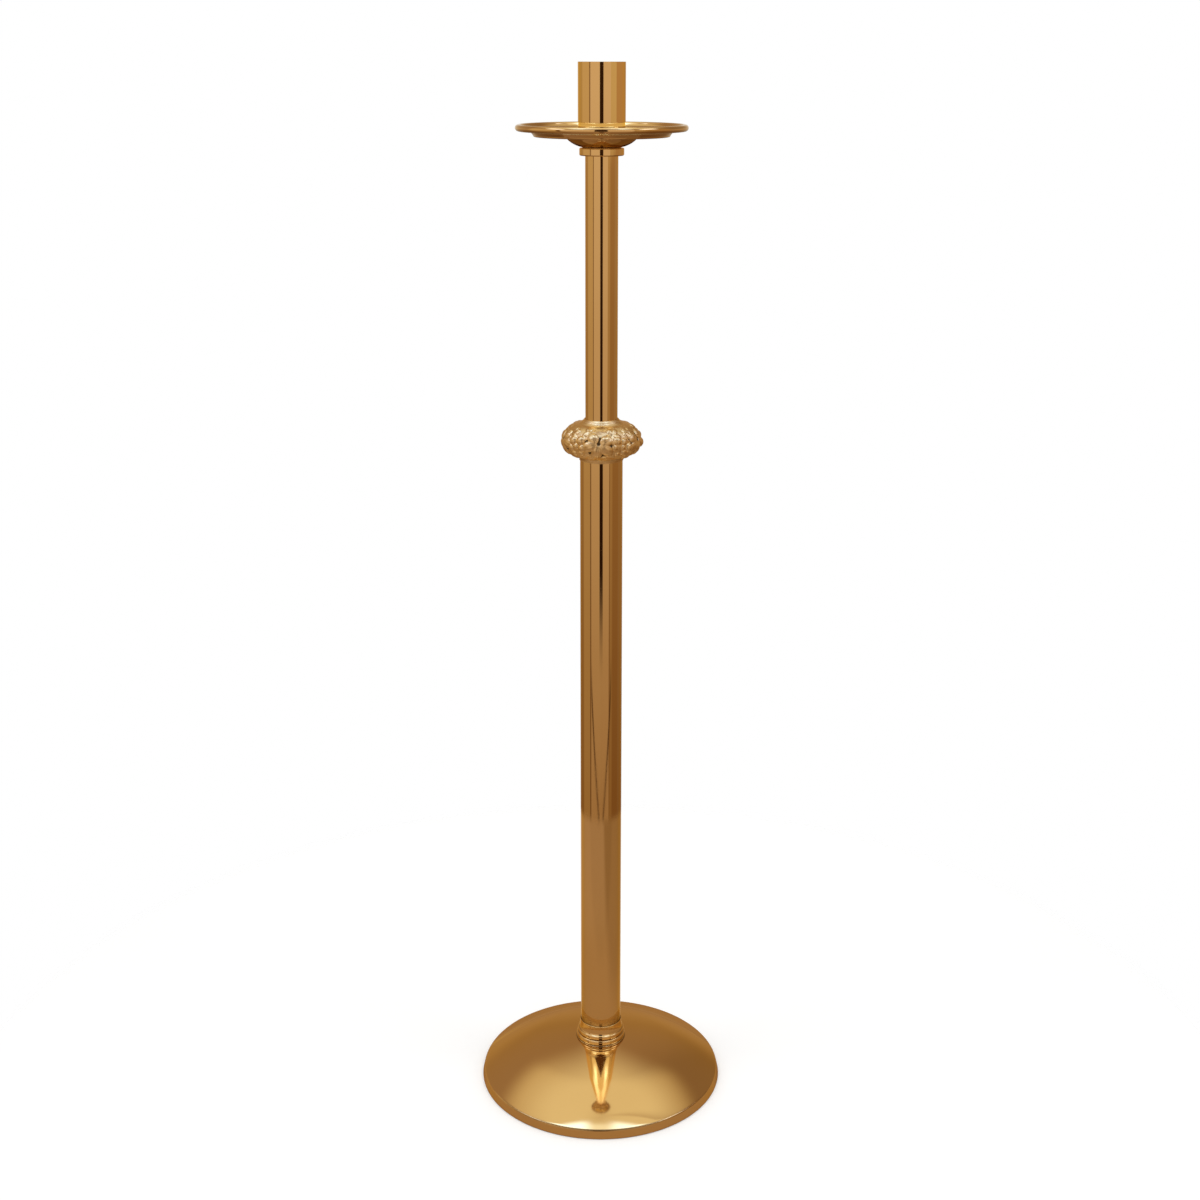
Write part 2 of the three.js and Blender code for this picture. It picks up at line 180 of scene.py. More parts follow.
def give(tree, out, **values):
    """Links results to a group's named outputs."""
    for name, value in values.items():
        tree.links.new(value, out[name])
    print("group", tree.name, len(tree.nodes), "nodes")


def use_group(tree, group, **values):
    """Places a shader node group with its own values and returns its outputs."""
    return place(tree, "ShaderNodeGroup", {"node_tree": group}, **values).outputs


def new_material(name):
    """A material whose node tree is still empty, and the tree."""
    material = bpy.data.materials.new(name)
    material.use_nodes = True
    material.node_tree.nodes.clear()
    return material, material.node_tree


print("helpers ready")

# %% [markdown]
# ## Marks left by the lathe
# A spun or turned piece is polished while it turns, so its finest lines run round the axis. On the
# object they follow distance from the axis and height, never the angle. The group feeds noise with
# those two lengths, and a slower noise lets the lines come and go as the hand pressed more or less.

# %% Shader group: turning lines
turning_lines, given, out = new_group(
    "Turning lines", "ShaderNodeTree",
    {"Lines per Metre": (FLOAT, 900.0), "Unevenness": (FLOAT, 0.5)}, {"Height": FLOAT, "Streak": FLOAT})
tree = turning_lines
where = on_object(tree)
axes = split(tree, where)
section = place(tree, "ShaderNodeCombineXYZ", X=off_axis(tree, axes), Y=axes["Z"], Z=0.0).outputs["Vector"]
lines = noise(tree, section, given["Lines per Metre"], 3.0, Roughness=0.65)
least = calculate(tree, "SUBTRACT", 1.0, given["Unevenness"])
pressed = ramp(tree, noise(tree, where, 14.0, 2.0), 0.38, 0.62, least, 1.0)
centred = calculate(tree, "SUBTRACT", lines, 0.5)
give(tree, out, Height=calculate(tree, "MULTIPLY", centred, pressed),
     Streak=calculate(tree, "MULTIPLY", ramp(tree, lines, 0.58, 0.74), pressed))

# %% [markdown]
# ## Marks left by the draw bench
# The two stem tubes were pulled through a die, so their faint lines run along the stem. Squeezing the
# noise in height by a large factor draws it out into long streaks, on any side of the tube alike.

# %% Shader group: drawn lines
drawn_lines, given, out = new_group(
    "Drawn lines", "ShaderNodeTree",
    {"Lines per Metre": (FLOAT, 700.0), "Stretch": (FLOAT, 60.0)}, {"Height": FLOAT, "Streak": FLOAT})
tree = drawn_lines
axes = split(tree, on_object(tree))
long_height = calculate(tree, "DIVIDE", axes["Z"], given["Stretch"])
pulled = place(tree, "ShaderNodeCombineXYZ", X=axes["X"], Y=axes["Y"], Z=long_height).outputs["Vector"]
lines = noise(tree, pulled, given["Lines per Metre"], 3.0, Roughness=0.6)
give(tree, out, Height=calculate(tree, "SUBTRACT", lines, 0.5), Streak=ramp(tree, lines, 0.6, 0.78))

# %% [markdown]
# ## Wear from cleaning
# Brass that is cleaned for years is never quite even. A soft cloth leaves hazy patches a hand wide,
# and stray grit leaves hair-fine scratches in every direction. Both only change the gloss a little,
# so they show as a slight softening where a reflection crosses them.

# %% Shader group: cleaning haze and hairlines
cleaning_wear, given, out = new_group(
    "Cleaning wear", "ShaderNodeTree",
    {"Patch Scale": (FLOAT, 16.0), "Scratch Scale": (FLOAT, 240.0)},
    {"Haze": FLOAT, "Hairlines": FLOAT, "Tone": FLOAT})
tree = cleaning_wear
where = on_object(tree)
patch = noise(tree, where, given["Patch Scale"], 4.0, Roughness=0.55, Distortion=0.6)
bend = noise(tree, where, 22.0, 1.0, output="Color")
bent = place_in_order(tree, "ShaderNodeVectorMath", {"operation": "MULTIPLY_ADD"},
                      bend, (0.05, 0.05, 0.05), where).outputs["Vector"]
cells = place(tree, "ShaderNodeTexVoronoi", {"feature": "DISTANCE_TO_EDGE"}, Vector=bent,
              Scale=given["Scratch Scale"]).outputs["Distance"]
hair = ramp(tree, cells, 0.0, 0.018, 1.0, 0.0)
kept = ramp(tree, noise(tree, where, 60.0, 2.0), 0.56, 0.66)
give(tree, out, Haze=ramp(tree, patch, 0.42, 0.68, smooth=True),
     Hairlines=calculate(tree, "MULTIPLY", hair, kept), Tone=noise(tree, where, 7.0, 3.0))

# %% [markdown]
# ## Old polish and painted shade in the hollows
# Polishing paste dries brown where a cloth can't reach: along seams, under beads and between grapes.
# The same dark brown is laid on as painted shade in those corners and creases. Each mesh below carries
# an attribute named hollow, from 0 on open metal to 1 deep in a corner. The group breaks its edge up
# with noise so that it doesn't read as a ring with a hard edge.

# %% Shader group: old polish and painted shade
polish_and_painted_shade, given, out = new_group(
    "Old polish and painted shade", "ShaderNodeTree",
    {"Amount": (FLOAT, 1.0), "Speckle Scale": (FLOAT, 420.0)}, {"Residue": FLOAT, "Grain": FLOAT})
tree = polish_and_painted_shade
# Painted shade in corners and creases, together with dried polish residue.
hollow = attribute(tree, "hollow")
speckle = noise(tree, on_object(tree), given["Speckle Scale"], 4.0, Roughness=0.7)
broken = calculate(tree, "MULTIPLY_ADD", calculate(tree, "SUBTRACT", speckle, 0.5), 0.5, hollow)
residue_and_shade = ramp(tree, broken, 0.35, 1.0, smooth=True)
give(tree, out, Residue=calculate(tree, "MULTIPLY", residue_and_shade, given["Amount"], clamp=True), Grain=speckle)

# %% [markdown]
# ## The brasses
# All the outside is one polished, lacquered brass, but each shaping leaves its own marks: drawn tubes,
# spun sheet, turned beads and a sand casting. One function builds the material from the shared groups,
# and each call sets how deep the marks are. Lengths in a bump are metres, so they look tiny. A face
# that looks down is darkened toward a browner brass as painted shade, which an attribute made from
# the face's slope says. Brass seen in brass is given a paler brass as a painted reflection, so a
# second reflection comes out lighter than the metal's own colour would make it.

# %% Brass colours and the material that all brass shares
BRASS = (0.425, 0.204, 0.064, 1.0)
BRASS_DEEP = (0.385, 0.175, 0.050, 1.0)
BRASS_UNDERSIDE_SHADE = (0.260, 0.108, 0.031, 1.0)
BRASS_PAINTED_REFLECTION = (0.92, 0.78, 0.48, 1.0)
BRASS_RESIDUE_AND_SHADE = (0.062, 0.030, 0.010, 1.0)


def brass_finish(name, marks, mark_scale, mark_height, gloss, haze_gain, residue_and_shade_amount,
                 colour=BRASS, grain_height=0.0, wave_height=0.0, wave_scale=(20.0, 20.0, 20.0),
                 grazing=(0.96, 0.72, 0.45), second_share=1.0, even_edge=False):
    """Brass with one kind of marks; an even edge keeps the metal's own colour at a glancing view."""
    material, tree = new_material(name)
    made = use_group(tree, marks, Lines_per_Metre=mark_scale)
    wear = use_group(tree, cleaning_wear)
    polish_and_shade = use_group(tree, polish_and_painted_shade, Amount=residue_and_shade_amount)

    deeper = [c * 0.55 + d * 0.45 for c, d in zip(colour, BRASS_DEEP)]
    shown = mix_colours(tree, ramp(tree, wear["Tone"], 0.35, 0.7), colour, deeper)
    # Painted shade: corners and creases are darkened toward dark brown, along with polish residue.
    shown = mix_colours(tree, polish_and_shade["Residue"], shown, BRASS_RESIDUE_AND_SHADE)
    # Painted shade: faces that look down are darkened toward a browner brass.
    shown = mix_colours(tree, attribute(tree, "underside_shade"), shown, BRASS_UNDERSIDE_SHADE)
    # Painted reflection: brass seen in a reflection gets a paler base colour than the metal has, except
    # where residue and shade lie.
    second = place(tree, "ShaderNodeLightPath").outputs["Is Glossy Ray"]
    clean = calculate(tree, "SUBTRACT", 1.0, polish_and_shade["Residue"], clamp=True)
    paler = calculate(tree, "MULTIPLY", calculate(tree, "MULTIPLY", second, clean), second_share)
    shown = mix_colours(tree, paler, shown, BRASS_PAINTED_REFLECTION)

    soft = gloss
    for mark, gain in ((wear["Haze"], haze_gain), (made["Streak"], haze_gain * 0.8),
                       (wear["Hairlines"], 0.12), (polish_and_shade["Residue"], 0.45)):
        soft = calculate(tree, "MULTIPLY_ADD", mark, gain, soft)

    height = calculate(tree, "MULTIPLY", made["Height"], mark_height)
    if grain_height:
        height = calculate(tree, "MULTIPLY_ADD", polish_and_shade["Grain"], grain_height, height)
    if wave_height:
        long = place(tree, "ShaderNodeMapping", Vector=on_object(tree), Scale=wave_scale).outputs["Vector"]
        height = calculate(tree, "MULTIPLY_ADD", noise(tree, long, 1.0, 1.0), wave_height, height)
    normal = place(tree, "ShaderNodeBump", Height=height, Distance=1.0, Strength=1.0).outputs["Normal"]

    shader = place(tree, "ShaderNodeBsdfPrincipled", Base_Color=shown, Metallic=1.0, Roughness=soft,
                   Normal=normal, Specular_Tint=(*grazing, 1.0)).outputs["BSDF"]
    if even_edge:
        facing = place(tree, "ShaderNodeLayerWeight", Blend=0.5).outputs["Facing"]
        even = place(tree, "ShaderNodeBsdfAnisotropic", Color=shown, Roughness=soft, Normal=normal)
        aside = ramp(tree, facing, 0.55, 0.8, smooth=True)
        shader = mix_shaders(tree, aside, shader, even.outputs["BSDF"])
    place(tree, "ShaderNodeOutputMaterial", Surface=shader)
    print("material", name, "with", len(tree.nodes), "nodes")
    return material


# %% [markdown]
# The tubes are the plainest mirror. The spun base and pan have rings so fine that they only soften a
# reflection, and a slow unevenness that makes it swim. Turned beads are cut sharper. The inside of
# the socket and the bushes were never polished after turning.

# %% The brass finishes
# name, marks, lines per metre, their height in metres, gloss, gain of the haze, amount of residue and
# painted shade
brass_drawn = brass_finish("drawn_tube_brass", drawn_lines, 500.0, 3e-7, 0.035, 0.03, 0.5,
                           wave_height=3e-5, wave_scale=(26.0, 26.0, 3.0))
brass_spun = brass_finish("spun_sheet_brass", turning_lines, 420.0, 2.0e-6, 0.05, 0.04, 0.5,
                          wave_height=1.2e-4, wave_scale=(17.0, 17.0, 17.0), even_edge=True)
brass_pan = brass_finish("spun_pan_brass", turning_lines, 420.0, 2.0e-6, 0.06, 0.04, 0.5,
                         wave_height=1.2e-4, wave_scale=(17.0, 17.0, 17.0), grazing=(1.0, 0.9, 0.7))
brass_turned = brass_finish("turned_bead_brass", turning_lines, 900.0, 1.5e-6, 0.05, 0.04, 0.7,
                            second_share=0.5)
brass_cast = brass_finish("cast_knop_brass", turning_lines, 300.0, 0.0, 0.33, 0.05, 0.95,
                          colour=(0.47, 0.255, 0.10, 1.0), grain_height=0.1e-5)
brass_plain = brass_finish("unpolished_turned_brass", turning_lines, 1400.0, 1.2e-5, 0.3, 0.1, 1.0)

# %% [markdown]
# ## Steel, iron and felt
# What holds the stand together is never polished. The tie rod and its nuts are zinc plated steel, the
# weight is a rough iron casting and the foot is covered with dense wool felt. They show when the
# stand is turned over or the pan is lifted.

# %% Steel, iron and felt
def rough_finish(name, light, dark, metallic, roughness, scale, depth, stretch=(1.0, 1.0, 1.0)):
    """An unpolished surface, grained and clouded between a dark and a light colour."""
    material, tree = new_material(name)
    where = on_object(tree)
    laid = place(tree, "ShaderNodeMapping", Vector=where, Scale=stretch).outputs["Vector"]
    grain = noise(tree, laid, scale, 6.0, Roughness=0.65)
    cloud = noise(tree, where, scale * 0.06, 2.0)
    both = calculate(tree, "MULTIPLY_ADD", grain, 0.6, calculate(tree, "MULTIPLY", cloud, 0.4))
    colour = mix_colours(tree, ramp(tree, both, 0.38, 0.62), (*dark, 1.0), (*light, 1.0))
    rough = calculate(tree, "MULTIPLY_ADD", grain, -0.2, roughness + 0.1)
    normal = place(tree, "ShaderNodeBump", Height=grain, Distance=depth, Strength=1.0).outputs["Normal"]
    surface = place(tree, "ShaderNodeBsdfPrincipled", Base_Color=colour, Metallic=metallic,
                    Roughness=rough, Normal=normal)
    place(tree, "ShaderNodeOutputMaterial", Surface=surface.outputs["BSDF"])
    return material


# name, light and dark colour, metallic, roughness, grains per metre, their depth in metres
steel_zinc = rough_finish("zinc_plated_steel", (0.52, 0.53, 0.54), (0.36, 0.37, 0.38), 1.0, 0.34,
                          900, 2e-5)
iron_cast = rough_finish("cast_iron", (0.075, 0.072, 0.068), (0.03, 0.028, 0.026), 0.6, 0.7, 500, 3e-4)
felt_wool = rough_finish("wool_felt", (0.040, 0.036, 0.030), (0.014, 0.013, 0.011), 0.0, 0.95, 1500, 4e-4,
                         stretch=(1.0, 0.35, 1.0))
print("rough finishes", steel_zinc.name, iron_cast.name, felt_wool.name)

# %% [markdown]
# ## Drawing an outline
# Every turned piece starts as its outline: distance from the axis and height, in millimetres, going
# round the metal once. Real corners are never sharp, so each is rounded, and two more points are put
# close to every corner. They hold the smooth shading of the long flats straight, as a mirror needs.

# %% Outline helpers
MM = 0.001


def arc(centre, radius, start, end, steps):
    turns = np.radians(np.linspace(start, end, steps + 1))
    return [(centre[0] + radius * math.cos(t), centre[1] + radius * math.sin(t)) for t in turns]


def bead(root, bulge, bottom, height, steps=14):
    turns = np.linspace(-math.pi / 2, math.pi / 2, steps + 1)
    return [(root + bulge * math.cos(t), bottom + height / 2 * (1 + math.sin(t))) for t in turns]


def round_corners(outline, rounding, steps=5, least_turn=math.radians(28)):
    """Rounds every corner that turns more than least_turn, by at most a third of its shorter side."""
    points = [np.array(p, float) for p in outline]
    rounded = []
    for i, corner in enumerate(points):
        before, after = points[i - 1], points[(i + 1) % len(points)]
        to_before, to_after = before - corner, after - corner
        reach_before, reach_after = np.linalg.norm(to_before), np.linalg.norm(to_after)
        u, v = to_before / reach_before, to_after / reach_after
        turn = math.pi - math.acos(np.clip(u @ v, -1, 1))
        if turn < least_turn:
            rounded.append(tuple(corner))
            continue
        cut = min(rounding * math.tan(turn / 2), reach_before / 3, reach_after / 3)
        start, end = corner + u * cut, corner + v * cut
        for k in range(steps + 1):
            t = k / steps
            rounded.append(tuple((1 - t) ** 2 * start + 2 * t * (1 - t) * corner + t ** 2 * end))
    return rounded


def hold_flats(outline, hold=0.25):
    """Adds a point near each end of every straight, so that shading doesn't bend along it."""
    held = []
    for i, point in enumerate(outline):
        start, end = np.array(point), np.array(outline[(i + 1) % len(outline)])
        held.append(tuple(start))
        length = np.linalg.norm(end - start)
        if length > 6 * hold:
            along = (end - start) / length
            held += [tuple(start + along * hold), tuple(end - along * hold)]
    return held


def hollow_of(outline, seams, spread=0.6):
    """How deep in a corner each outline point lies, from 0 to 1; seams are places where pieces meet."""
    points = np.array(outline)
    before, after = np.roll(points, 1, 0), np.roll(points, -1, 0)
    a, b = points - before, after - points
    turn = np.arctan2(a[:, 0] * b[:, 1] - a[:, 1] * b[:, 0], (a * b).sum(1))
    inward = np.clip(-turn, 0, 1.2)
    gap = np.linalg.norm(points[:, None] - points[None], axis=2)
    deep = (0.8 * inward[None] * np.exp(-gap / spread)).sum(1)
    for seam in seams:
        deep += 0.9 * np.exp(-np.linalg.norm(points - np.array(seam), axis=1) / spread)
    return np.clip(deep, 0, 1)


print("a test corner rounds to", len(round_corners([(0, 0), (9, 0), (9, 9), (0, 9)], 0.5)), "points")

# %% [markdown]
# ## Turning on the lathe, in Geometry Nodes
# A lathe sweeps an outline round an axis. The tree makes a curve of the outline and sweeps it along a
# circle, keeps only real creases sharp and gives the material. The circle lies at Axis Radius, so the
# outline is drawn from there. The sweep hangs it head down, so heights go in with a minus sign.

# %% Geometry node tree: turn an outline
turn_tree, given, out = new_group(
    "Turn an outline", "GeometryNodeTree",
    {"Geometry": ("NodeSocketGeometry", None), "Axis Radius": (FLOAT, 0.05),
     "Sides": ("NodeSocketInt", 160), "Crease Angle": (FLOAT, 0.6),
     "Material": ("NodeSocketMaterial", None)},
    {"Geometry": "NodeSocketGeometry"})
outline_curve = place(turn_tree, "GeometryNodeMeshToCurve", Mesh=given["Geometry"]).outputs["Curve"]
circle = place(turn_tree, "GeometryNodeCurvePrimitiveCircle", Resolution=given["Sides"],
               Radius=given["Axis Radius"]).outputs["Curve"]
swept = place(turn_tree, "GeometryNodeCurveToMesh", Curve=circle,
              Profile_Curve=outline_curve).outputs["Mesh"]
smooth = place(turn_tree, "GeometryNodeSetShadeSmooth", Geometry=swept,
               Shade_Smooth=True).outputs["Geometry"]
edge_angle = place(turn_tree, "GeometryNodeInputMeshEdgeAngle").outputs["Unsigned Angle"]
crease = calculate(turn_tree, "GREATER_THAN", edge_angle, given["Crease Angle"])
creased = place(turn_tree, "GeometryNodeSetShadeSmooth", {"domain": "EDGE"}, Geometry=smooth,
                Selection=crease, Shade_Smooth=False).outputs["Geometry"]
plain = place(turn_tree, "GeometryNodeRealizeInstances", Geometry=creased).outputs["Geometry"]
finished = place(turn_tree, "GeometryNodeSetMaterial", Geometry=plain, Material=given["Material"])
give(turn_tree, out, Geometry=finished.outputs["Geometry"])

# %% [markdown]
# A tree's result only lives while its modifier does. To export it, the evaluated object is copied to
# a plain mesh under the piece's own name, and the object with the modifier is thrown away. Then the
# piece is hung on an empty for the CAD body it rides on, and the CAD node it stands for is hidden.

# %% Helpers that run a tree and keep its result
def run_tree(name, mesh, tree, inputs):
    """Evaluates a Geometry Nodes tree on a mesh and returns a plain mesh object."""
    source = add_object(name + "_source", mesh)
    modifier = source.modifiers.new(tree.name, "NODES")
    modifier.node_group = tree
    sockets = {s.name: s.identifier for s in tree.interface.items_tree if s.in_out == "INPUT"}
    for label, value in inputs.items():
        modifier[sockets[label]] = value
    graph = bpy.context.evaluated_depsgraph_get()
    made = bpy.data.meshes.new_from_object(source.evaluated_get(graph), preserve_all_data_layers=True,
                                           depsgraph=graph)
    bpy.data.objects.remove(source)
    bpy.data.meshes.remove(mesh)
    made.name = name
    return add_object(name, made)


def write_attribute(mesh, name, values):
    """Writes one number per point, in a new attribute or over an old one."""
    layer = mesh.attributes.get(name) or mesh.attributes.new(name, "FLOAT", "POINT")
    layer.data.foreach_set("value", np.asarray(values, np.float32).reshape(-1))


def deepen_hollow(piece, share):
    """Raises a piece's hollow attribute to a share at each point, where it is lower."""
    hollow = np.zeros(len(piece.data.vertices), np.float32)
    piece.data.attributes["hollow"].data.foreach_get("value", hollow)
    write_attribute(piece.data, "hollow", np.maximum(hollow, share))


def points_of(piece):
    """A piece's points, in millimetres."""
    return np.array([v.co for v in piece.data.vertices]) / MM


def install(piece, body, slot, *nodes):
    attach(piece, body)
    if nodes:
        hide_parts(*nodes)
    low, high = Vector(piece.bound_box[0]), Vector(piece.bound_box[6])
    print(f"{piece.name}: {len(piece.data.polygons)} faces, {[round(v * 1000, 1) for v in high - low]} mm")


CREASE_ANGLE = 0.6


def turn(name, outline, material, node, body="stand", sides=160, rounding=0.35, seams=()):
    """A turned piece from an outline in millimetres, drawn counter-clockwise with the axis at left."""
    outline = hold_flats(round_corners(outline, rounding))
    hollow = hollow_of(outline, seams)
    radii = [r for r, _ in outline]
    middle = (min(radii) + max(radii)) / 2
    turned_points = [((r - middle) * MM, -h * MM, 0) for r, h in outline][::-1]
    count = len(turned_points)
    mesh = bpy.data.meshes.new(name + "_outline")
    mesh.from_pydata(turned_points, [(i, (i + 1) % count) for i in range(count)], [])
    write_attribute(mesh, "hollow", hollow[::-1])
    piece = run_tree(name, mesh, turn_tree, {"Axis Radius": middle * MM, "Sides": sides,
                                             "Crease Angle": CREASE_ANGLE, "Material": material})
    # Faces that look down get an attribute which paints them darker and browner as painted shade.
    facing = np.array([v.normal.z for v in piece.data.vertices])
    write_attribute(piece.data, "underside_shade", np.clip((-facing - 0.15) / 0.5, 0, 1))
    install(piece, body, "polished_brass", node)
    return piece


# %% [markdown]
# ## The base
# The base is one brass sheet spun over a form: a shallow dome that steepens towards a short upright
# rim. The curve is a power of the distance from the axis, which is what a spinner's form has too, and
# near the collar a cove sweeps it up once more. The wall is followed inside at its true thickness.

# %% Base shell
base_radius, rim_bottom, rim_top, rim_taper, edge_turn = 134.0, 0.4, 10.0, 2.0, 1.3
dome_rise, dome_roundness, crown_radius, base_wall = 31.2, 2.08, 27.6, 1.6
cove_radius, cove_rise = 74.0, 3.5
crown = rim_top + dome_rise
rod_hole = 5.4
dome_edge = base_radius - rim_taper


def dome_height(r):
    share = max(r - crown_radius, 0) / (dome_edge - crown_radius)
    return rim_top - dome_rise * (share ** dome_roundness - 1)


def cove_height(r):
    return cove_rise * (max(cove_radius - r, 0) / (cove_radius - crown_radius)) ** 2


dome_outside = [(r, dome_height(r) + cove_height(r))
                for r in np.linspace(dome_edge - edge_turn, crown_radius, 90)]
dome_inside = [(r - base_wall * 0.35, dome_height(r) - base_wall)
               for r in np.linspace(dome_edge - edge_turn, crown_radius, 60)[::-1]]
rim_lean = rim_taper / (rim_top - rim_bottom)
start = np.array((dome_edge + edge_turn * rim_lean, rim_top - edge_turn))
knee, end = np.array((dome_edge, rim_top)), np.array(dome_outside[0])
rim_turn = [tuple((1 - t) ** 2 * start + 2 * t * (1 - t) * knee + t ** 2 * end)
            for t in np.linspace(0, 1, 7)[:-1]]
base_outline = [
    (base_radius - 0.3, rim_bottom), (base_radius, rim_bottom + 0.8), *rim_turn, *dome_outside,
    (crown_radius - 0.4, crown + cove_rise), (crown_radius - 0.4, crown), (rod_hole, crown),
    (rod_hole, crown - base_wall), (crown_radius - 2, crown - base_wall), *dome_inside[1:-1],
    (dome_edge - base_wall, rim_top - base_wall * 1.2), (base_radius - base_wall, rim_bottom),
]
base_dome = turn("base_dome", base_outline, brass_spun, "base_shell", sides=256, rounding=0.3,
                 seams=[(crown_radius - 0.2, crown + cove_rise)])

# %% [markdown]
# A thin dark line of painted shade runs along the edge of the dome, strongest at the front toward
# the camera. It is written into the hollow attribute by angle, so that it comes and goes round the base.

# %% Painted shade line along the dome's edge
shade_line_reach = 1.2
x, y, z = points_of(base_dome).T
around_rim = np.arctan2(x, -y)
on_shade_line = np.hypot(np.hypot(x, y) - dome_edge, z - rim_top) < shade_line_reach
# Painted shade: a dark line along the dome's edge, strongest at the front.
shade_line_strength = 0.45 + 0.65 * np.cos(around_rim) ** 3 + 0.12 * np.sin(around_rim * 7 + 1)
deepen_hollow(base_dome, np.where(on_shade_line, np.clip(shade_line_strength, 0, 1.1), 0))
print("painted shade line on", int(on_shade_line.sum()), "points")

# %% [markdown]
# ## The beaded collar
# Where the stem meets the dome sits a turned collar: a plain foot, a thick bead, a thinner one and a
# flare that closes on the tube. Beads are half rounds between two sharp grooves, and the grooves are
# what catches the dark polish.

# %% Base collar
tube_radius, tube_wall, slip = 22.2, 1.5, 0.3
tube_bottom = crown + 5
foot_radius, foot_edge, foot_top = 27.0, 0.4, crown + 4.2
lower_bead = foot_top + 0.8
upper_bead = lower_bead + 5.4
flare_bottom = upper_bead + 5.0
collar_top = flare_bottom + 10.7
flare_radius, flare_depth, flare_rise = 24.4, 1.35, 10.0
bore = tube_radius + slip
flare = [(flare_radius - flare_depth * math.sin(t), flare_bottom + 0.4 + flare_rise * (1 - math.cos(t)))
         for t in np.linspace(0, math.pi / 2, 12)]
collar_outline = [
    (rod_hole, crown), (foot_radius - foot_edge, crown), (foot_radius, crown + 2 * foot_edge),
    (foot_radius, foot_top - 0.3), (foot_radius - 2 * foot_edge, foot_top),
    *bead(25.9, 1.1, foot_top + 0.3, 5.7), *bead(24.8, 0.9, upper_bead + 0.2, 4.8),
    *flare, (bore, collar_top), (bore, tube_bottom), (rod_hole, tube_bottom),
]
turn("beaded_collar", collar_outline, brass_turned, "base_collar", sides=192, rounding=0.2)

# %% [markdown]
# ## The stem
# Two drawn tubes, the upper one thinner. Their outline is only a long thin ring, but the mirror along
# it must be perfectly straight, which the held points near each end see to.

# %% Stem tubes
lower_tube_top = tube_bottom + 673.3
knop_bottom = lower_tube_top - 3.3
knop_top = knop_bottom + 43.6
upper_radius = 16.65
upper_bottom = knop_top - 4.0
upper_top = upper_bottom + 275.2
ring_bottom = upper_top - 3.8


def tube_outline(radius, bottom, top, marks=()):
    return [(radius - tube_wall, bottom), (radius, bottom), *((radius, height) for height in marks),
            (radius, top), (radius - tube_wall, top)]


foot_marks = [collar_top + step for step in (0.0, 1.0, 2.5, 4.5, 7.0, 10.0, 14.0, 19.0)]
lower_outline = tube_outline(tube_radius, tube_bottom, lower_tube_top, foot_marks)
lower_tube = turn("lower_stem_tube", lower_outline, brass_drawn, "lower_tube", sides=192,
                  seams=[(tube_radius, collar_top), (tube_radius, knop_bottom)])
upper_outline = tube_outline(upper_radius, upper_bottom, upper_top)
turn("upper_stem_tube", upper_outline, brass_drawn, "upper_tube",
     seams=[(upper_radius, knop_top), (upper_radius, ring_bottom)])

# %% [markdown]
# Above the collar the lower tube is darkened toward brown as painted shade, fading upward and
# strongest at its left and right sides.

# %% Painted shade at the foot of the stem
foot_shade_reach, foot_shade_fade = 20, 12
x, _, z = points_of(lower_tube).T
above_collar = z - collar_top
at_sides = np.abs(x) / tube_radius
# Painted shade: the lower tube is darkened toward brown just above the collar, most at its sides.
painted_foot_shade = np.where(above_collar < foot_shade_reach,
                   np.exp(-np.abs(above_collar) / foot_shade_fade) * (0.7 + 0.5 * at_sides), 0)
deepen_hollow(lower_tube, painted_foot_shade)
print("browned points", int((painted_foot_shade > 0.05).sum()))

# %% [markdown]
# ## The ring and cup under the pan
# A plain ring with broken edges ends the stem, and a shallow spun cup spreads from it to carry the
# pan. The cup's curve is a superellipse quarter: nearly flat under the pan, then steep to the neck.

# %% Top collar and pan cup
cup_bottom = ring_bottom + 7.7
cup_top = cup_bottom + 10.6
ring_bore = upper_radius + slip
ring_radius, ring_edge = 22.5, 0.9
ring_face = ring_radius - ring_edge
ring_outline = [(ring_bore, ring_bottom), (ring_face, ring_bottom), (ring_radius, ring_bottom + ring_edge),
                (ring_radius, cup_bottom - ring_edge), (ring_face, cup_bottom), (rod_hole, cup_bottom),
                (rod_hole, upper_top), (ring_bore, upper_top)]
turn("ring_under_cup", ring_outline, brass_turned, "top_collar", rounding=0.3, seams=[(20.0, cup_bottom)])

socket_radius, socket_wall = 23.85, 1.4
socket_bottom = cup_top - 5
cup_neck, cup_rim, cup_depth, cup_roundness = 19.6, 36.0, 10.0, 1.45
cup_curve = []
for t in np.linspace(0, math.pi / 2, 22)[1:]:
    drop = math.cos(t)
    fullness = (1 - drop ** cup_roundness) ** (1 / cup_roundness)
    cup_curve.append((cup_neck + (cup_rim - cup_neck) * fullness, cup_top - cup_depth * drop))
recess = socket_radius + slip
cup_outline = [(rod_hole, cup_bottom), (cup_neck, cup_bottom), (cup_neck, cup_bottom + 0.6), *cup_curve,
               (recess, cup_top), (recess, socket_bottom), (rod_hole, socket_bottom)]
turn("spun_pan_cup", cup_outline, brass_spun, "pan_cup", sides=192, rounding=0.3,
     seams=[(cup_neck, cup_bottom), (cup_neck, cup_bottom + 0.7), (cup_rim, cup_top)])

# %% [markdown]
# ## The drip pan
# One spun sheet again: a flat well, a leaning step and a nearly flat flange that ends in a rolled
# lip. The lip is a hollow bead, rolled on the wheel to stiffen the edge. The pan lies loose on the
# cup round the socket and lifts off for cleaning, so it rides on its own body.

# %% Drip pan
pan_wall, lip_radius, pan_radius, pan_height = 1.5, 3.3, 86.4, 12.1
well_radius, corner, flange_sag = 68.6, 1.6, 0.5
pan_hole = socket_radius + 0.45
lip = (pan_radius - lip_radius, cup_top + pan_height - lip_radius)
lip_round = arc(lip, lip_radius, -160, 160, 30)
flange_foot = (well_radius + 2.5, cup_top + 4.6)
flange_length = np.array(lip_round[0]) - np.array(flange_foot)


